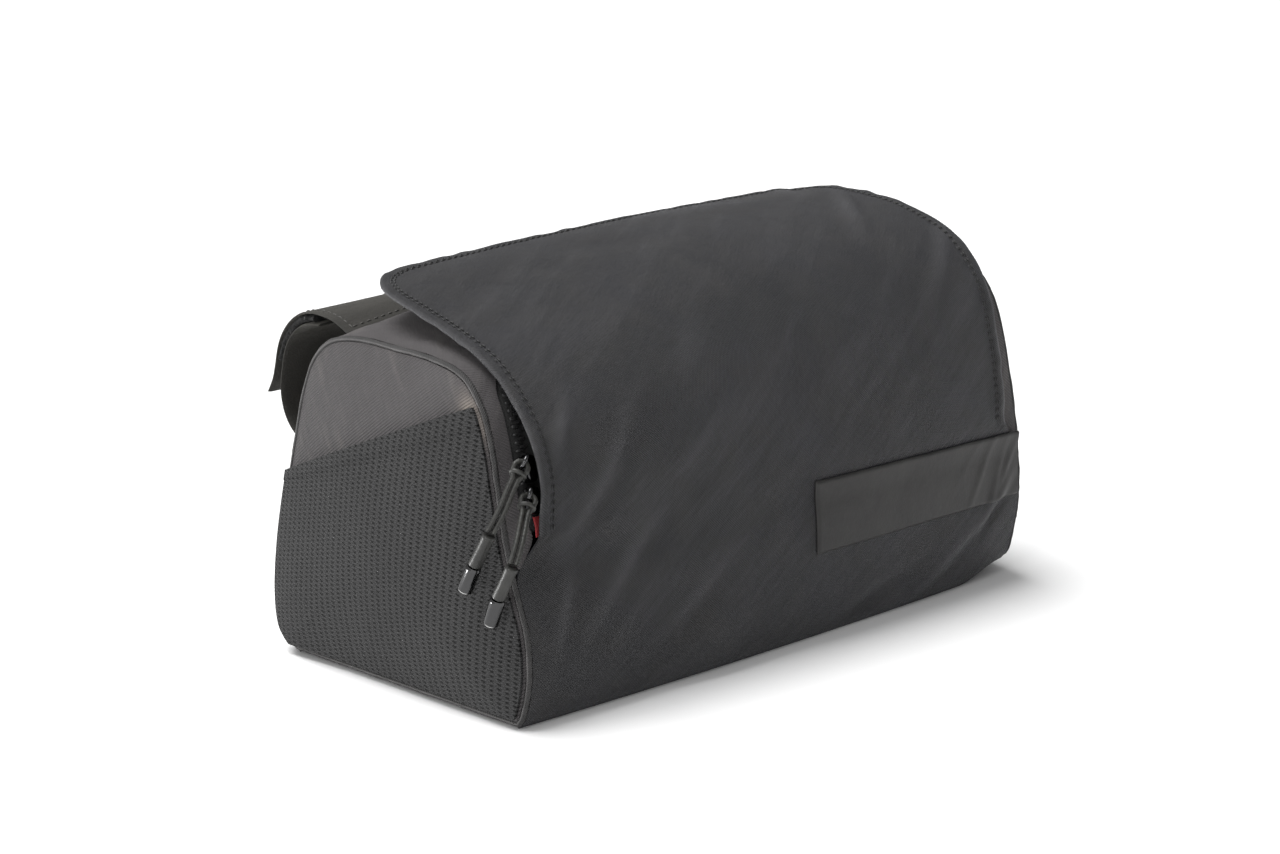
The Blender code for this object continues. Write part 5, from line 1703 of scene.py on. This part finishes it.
def camera():
    """Camera at the photograph's place."""
    turn = math.radians(CAMERA_TURN)
    pitch = math.radians(CAMERA_PITCH)
    right = Vector((math.cos(turn), -math.sin(turn), 0.0))
    ahead = Vector((math.sin(turn) * math.cos(pitch), math.cos(turn) * math.cos(pitch), -math.sin(pitch)))
    up = right.cross(ahead)
    data = bpy.data.cameras.new("camera")
    data.sensor_width = 36.0
    data.lens = FOCAL_PIXELS * data.sensor_width / IMAGE_WIDTH
    data.clip_start = 0.05
    data.clip_end = 50.0
    made = bpy.data.objects.new("camera", data)
    bpy.context.scene.collection.objects.link(made)
    axes = Matrix((right, up, -ahead)).transposed()
    made.matrix_world = Matrix.Translation(Vector(CAMERA_PLACE)) @ axes.to_4x4()
    bpy.context.scene.camera = made


def area_light(name, place, target, size, power, size_y=None):
    """Soft light at a place, aimed at a target."""
    data = bpy.data.lights.new(name, "AREA")
    data.shape = "RECTANGLE"
    data.size = size
    data.size_y = size_y or size
    data.energy = power
    made = bpy.data.objects.new(name, data)
    bpy.context.scene.collection.objects.link(made)
    made.location = place
    made.rotation_mode = "QUATERNION"
    made.rotation_quaternion = (Vector(target) - Vector(place)).to_track_quat("-Z", "Y")
    return made


def studio():
    """Pale floor, white surround and soft lights."""
    data = bpy.data.meshes.new("floor")
    reach = 8.0
    data.from_pydata([(-reach, -reach, 0.0), (reach, -reach, 0.0), (reach, reach, 0.0),
                      (-reach, reach, 0.0)], [], [(0, 1, 2, 3)])
    floor = bpy.data.objects.new("floor", data)
    bpy.context.scene.collection.objects.link(floor)
    data.materials.append(floor_look())
    world = bpy.data.worlds.new("studio")
    world.use_nodes = True
    background = world.node_tree.nodes["Background"]
    background.inputs["Color"].default_value = (1.0, 1.0, 1.0, 1.0)
    links = world.node_tree.links
    nodes = world.node_tree.nodes
    parts = nodes.new("ShaderNodeSeparateXYZ")
    links.new(nodes.new("ShaderNodeTexCoord").outputs["Generated"], parts.inputs[0])
    strength = nodes.new("ShaderNodeMapRange")
    strength.inputs["From Min"].default_value = -1.0
    strength.inputs["To Min"].default_value = 0.78
    strength.inputs["To Max"].default_value = 0.06
    links.new(parts.outputs["X"], strength.inputs["Value"])
    links.new(strength.outputs["Result"], background.inputs["Strength"])
    bpy.context.scene.world = world
    sky = bpy.data.lights.new("sky", "SUN")
    sky.energy = 3.2
    sky.angle = math.radians(38.0)
    made = bpy.data.objects.new("sky", sky)
    bpy.context.scene.collection.objects.link(made)
    made.rotation_mode = "QUATERNION"
    made.rotation_quaternion = Vector((0.16, -0.30, -1.0)).to_track_quat("-Z", "Y")
    area_light("strip", (-1.35, -0.55, 0.55), (-0.1, 0.0, 0.05), 0.10, 4.5, size_y=1.0)
    glint = area_light("glint", (-0.31, 0.14, 0.014), (-0.122, -0.045, 0.045), 0.045, 0.5, size_y=0.03)
    glint.visible_diffuse = False
    glint.visible_camera = False
    bpy.context.scene.view_settings.view_transform = "Standard"


def main():
    """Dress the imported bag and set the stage."""
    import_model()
    camera()
    looks = {
        "front": front_cloth(),
        "body": body_cloth(),
        "mesh": pocket_mesh(),
        "seam": seam_binding(),
        "tape": woven_tape("zip_tape_cloth", (0.012, 0.012, 0.012), (0.022, 0.022, 0.022)),
        "tab": red_ribbon(),
        "teeth": nylon_teeth(),
        "band": band_rubber(),
        "strap": strap_cloth(),
        "hook": hook_pile(),
        "cord": pull_cord(),
        "sleeve": pull_sleeve(),
        "metal": dark_metal(),
        "cap": dark_metal("cap_plating", (0.060, 0.060, 0.061), 0.12),
        "thread": thread_look("front_thread", (0.004, 0.004, 0.004)),
        "strap_thread": thread_look("strap_thread", (0.060, 0.058, 0.054)),
    }
    for label in PULL_ROUTES:
        pull(label, looks)
    front_flap(looks["front"], looks["thread"])
    gusset(looks["body"])
    zip_tape(looks["tape"])
    zip_chain(looks["teeth"])
    end_tab(looks["tab"])
    for label, side, sign in (("left", LEFT, -1.0), ("right", RIGHT, 1.0)):
        end_wall("end_wall_" + label, side, looks["body"])
        mesh_pocket("mesh_pocket_" + label, side, looks["mesh"], looks["thread"])
        end_piping("end_seam_" + label, side, looks["seam"])
        bar_strap(label, sign, looks)
    back_wall(looks["body"])
    base_wall(looks["body"])
    side_band(looks["band"])
    studio()


main()
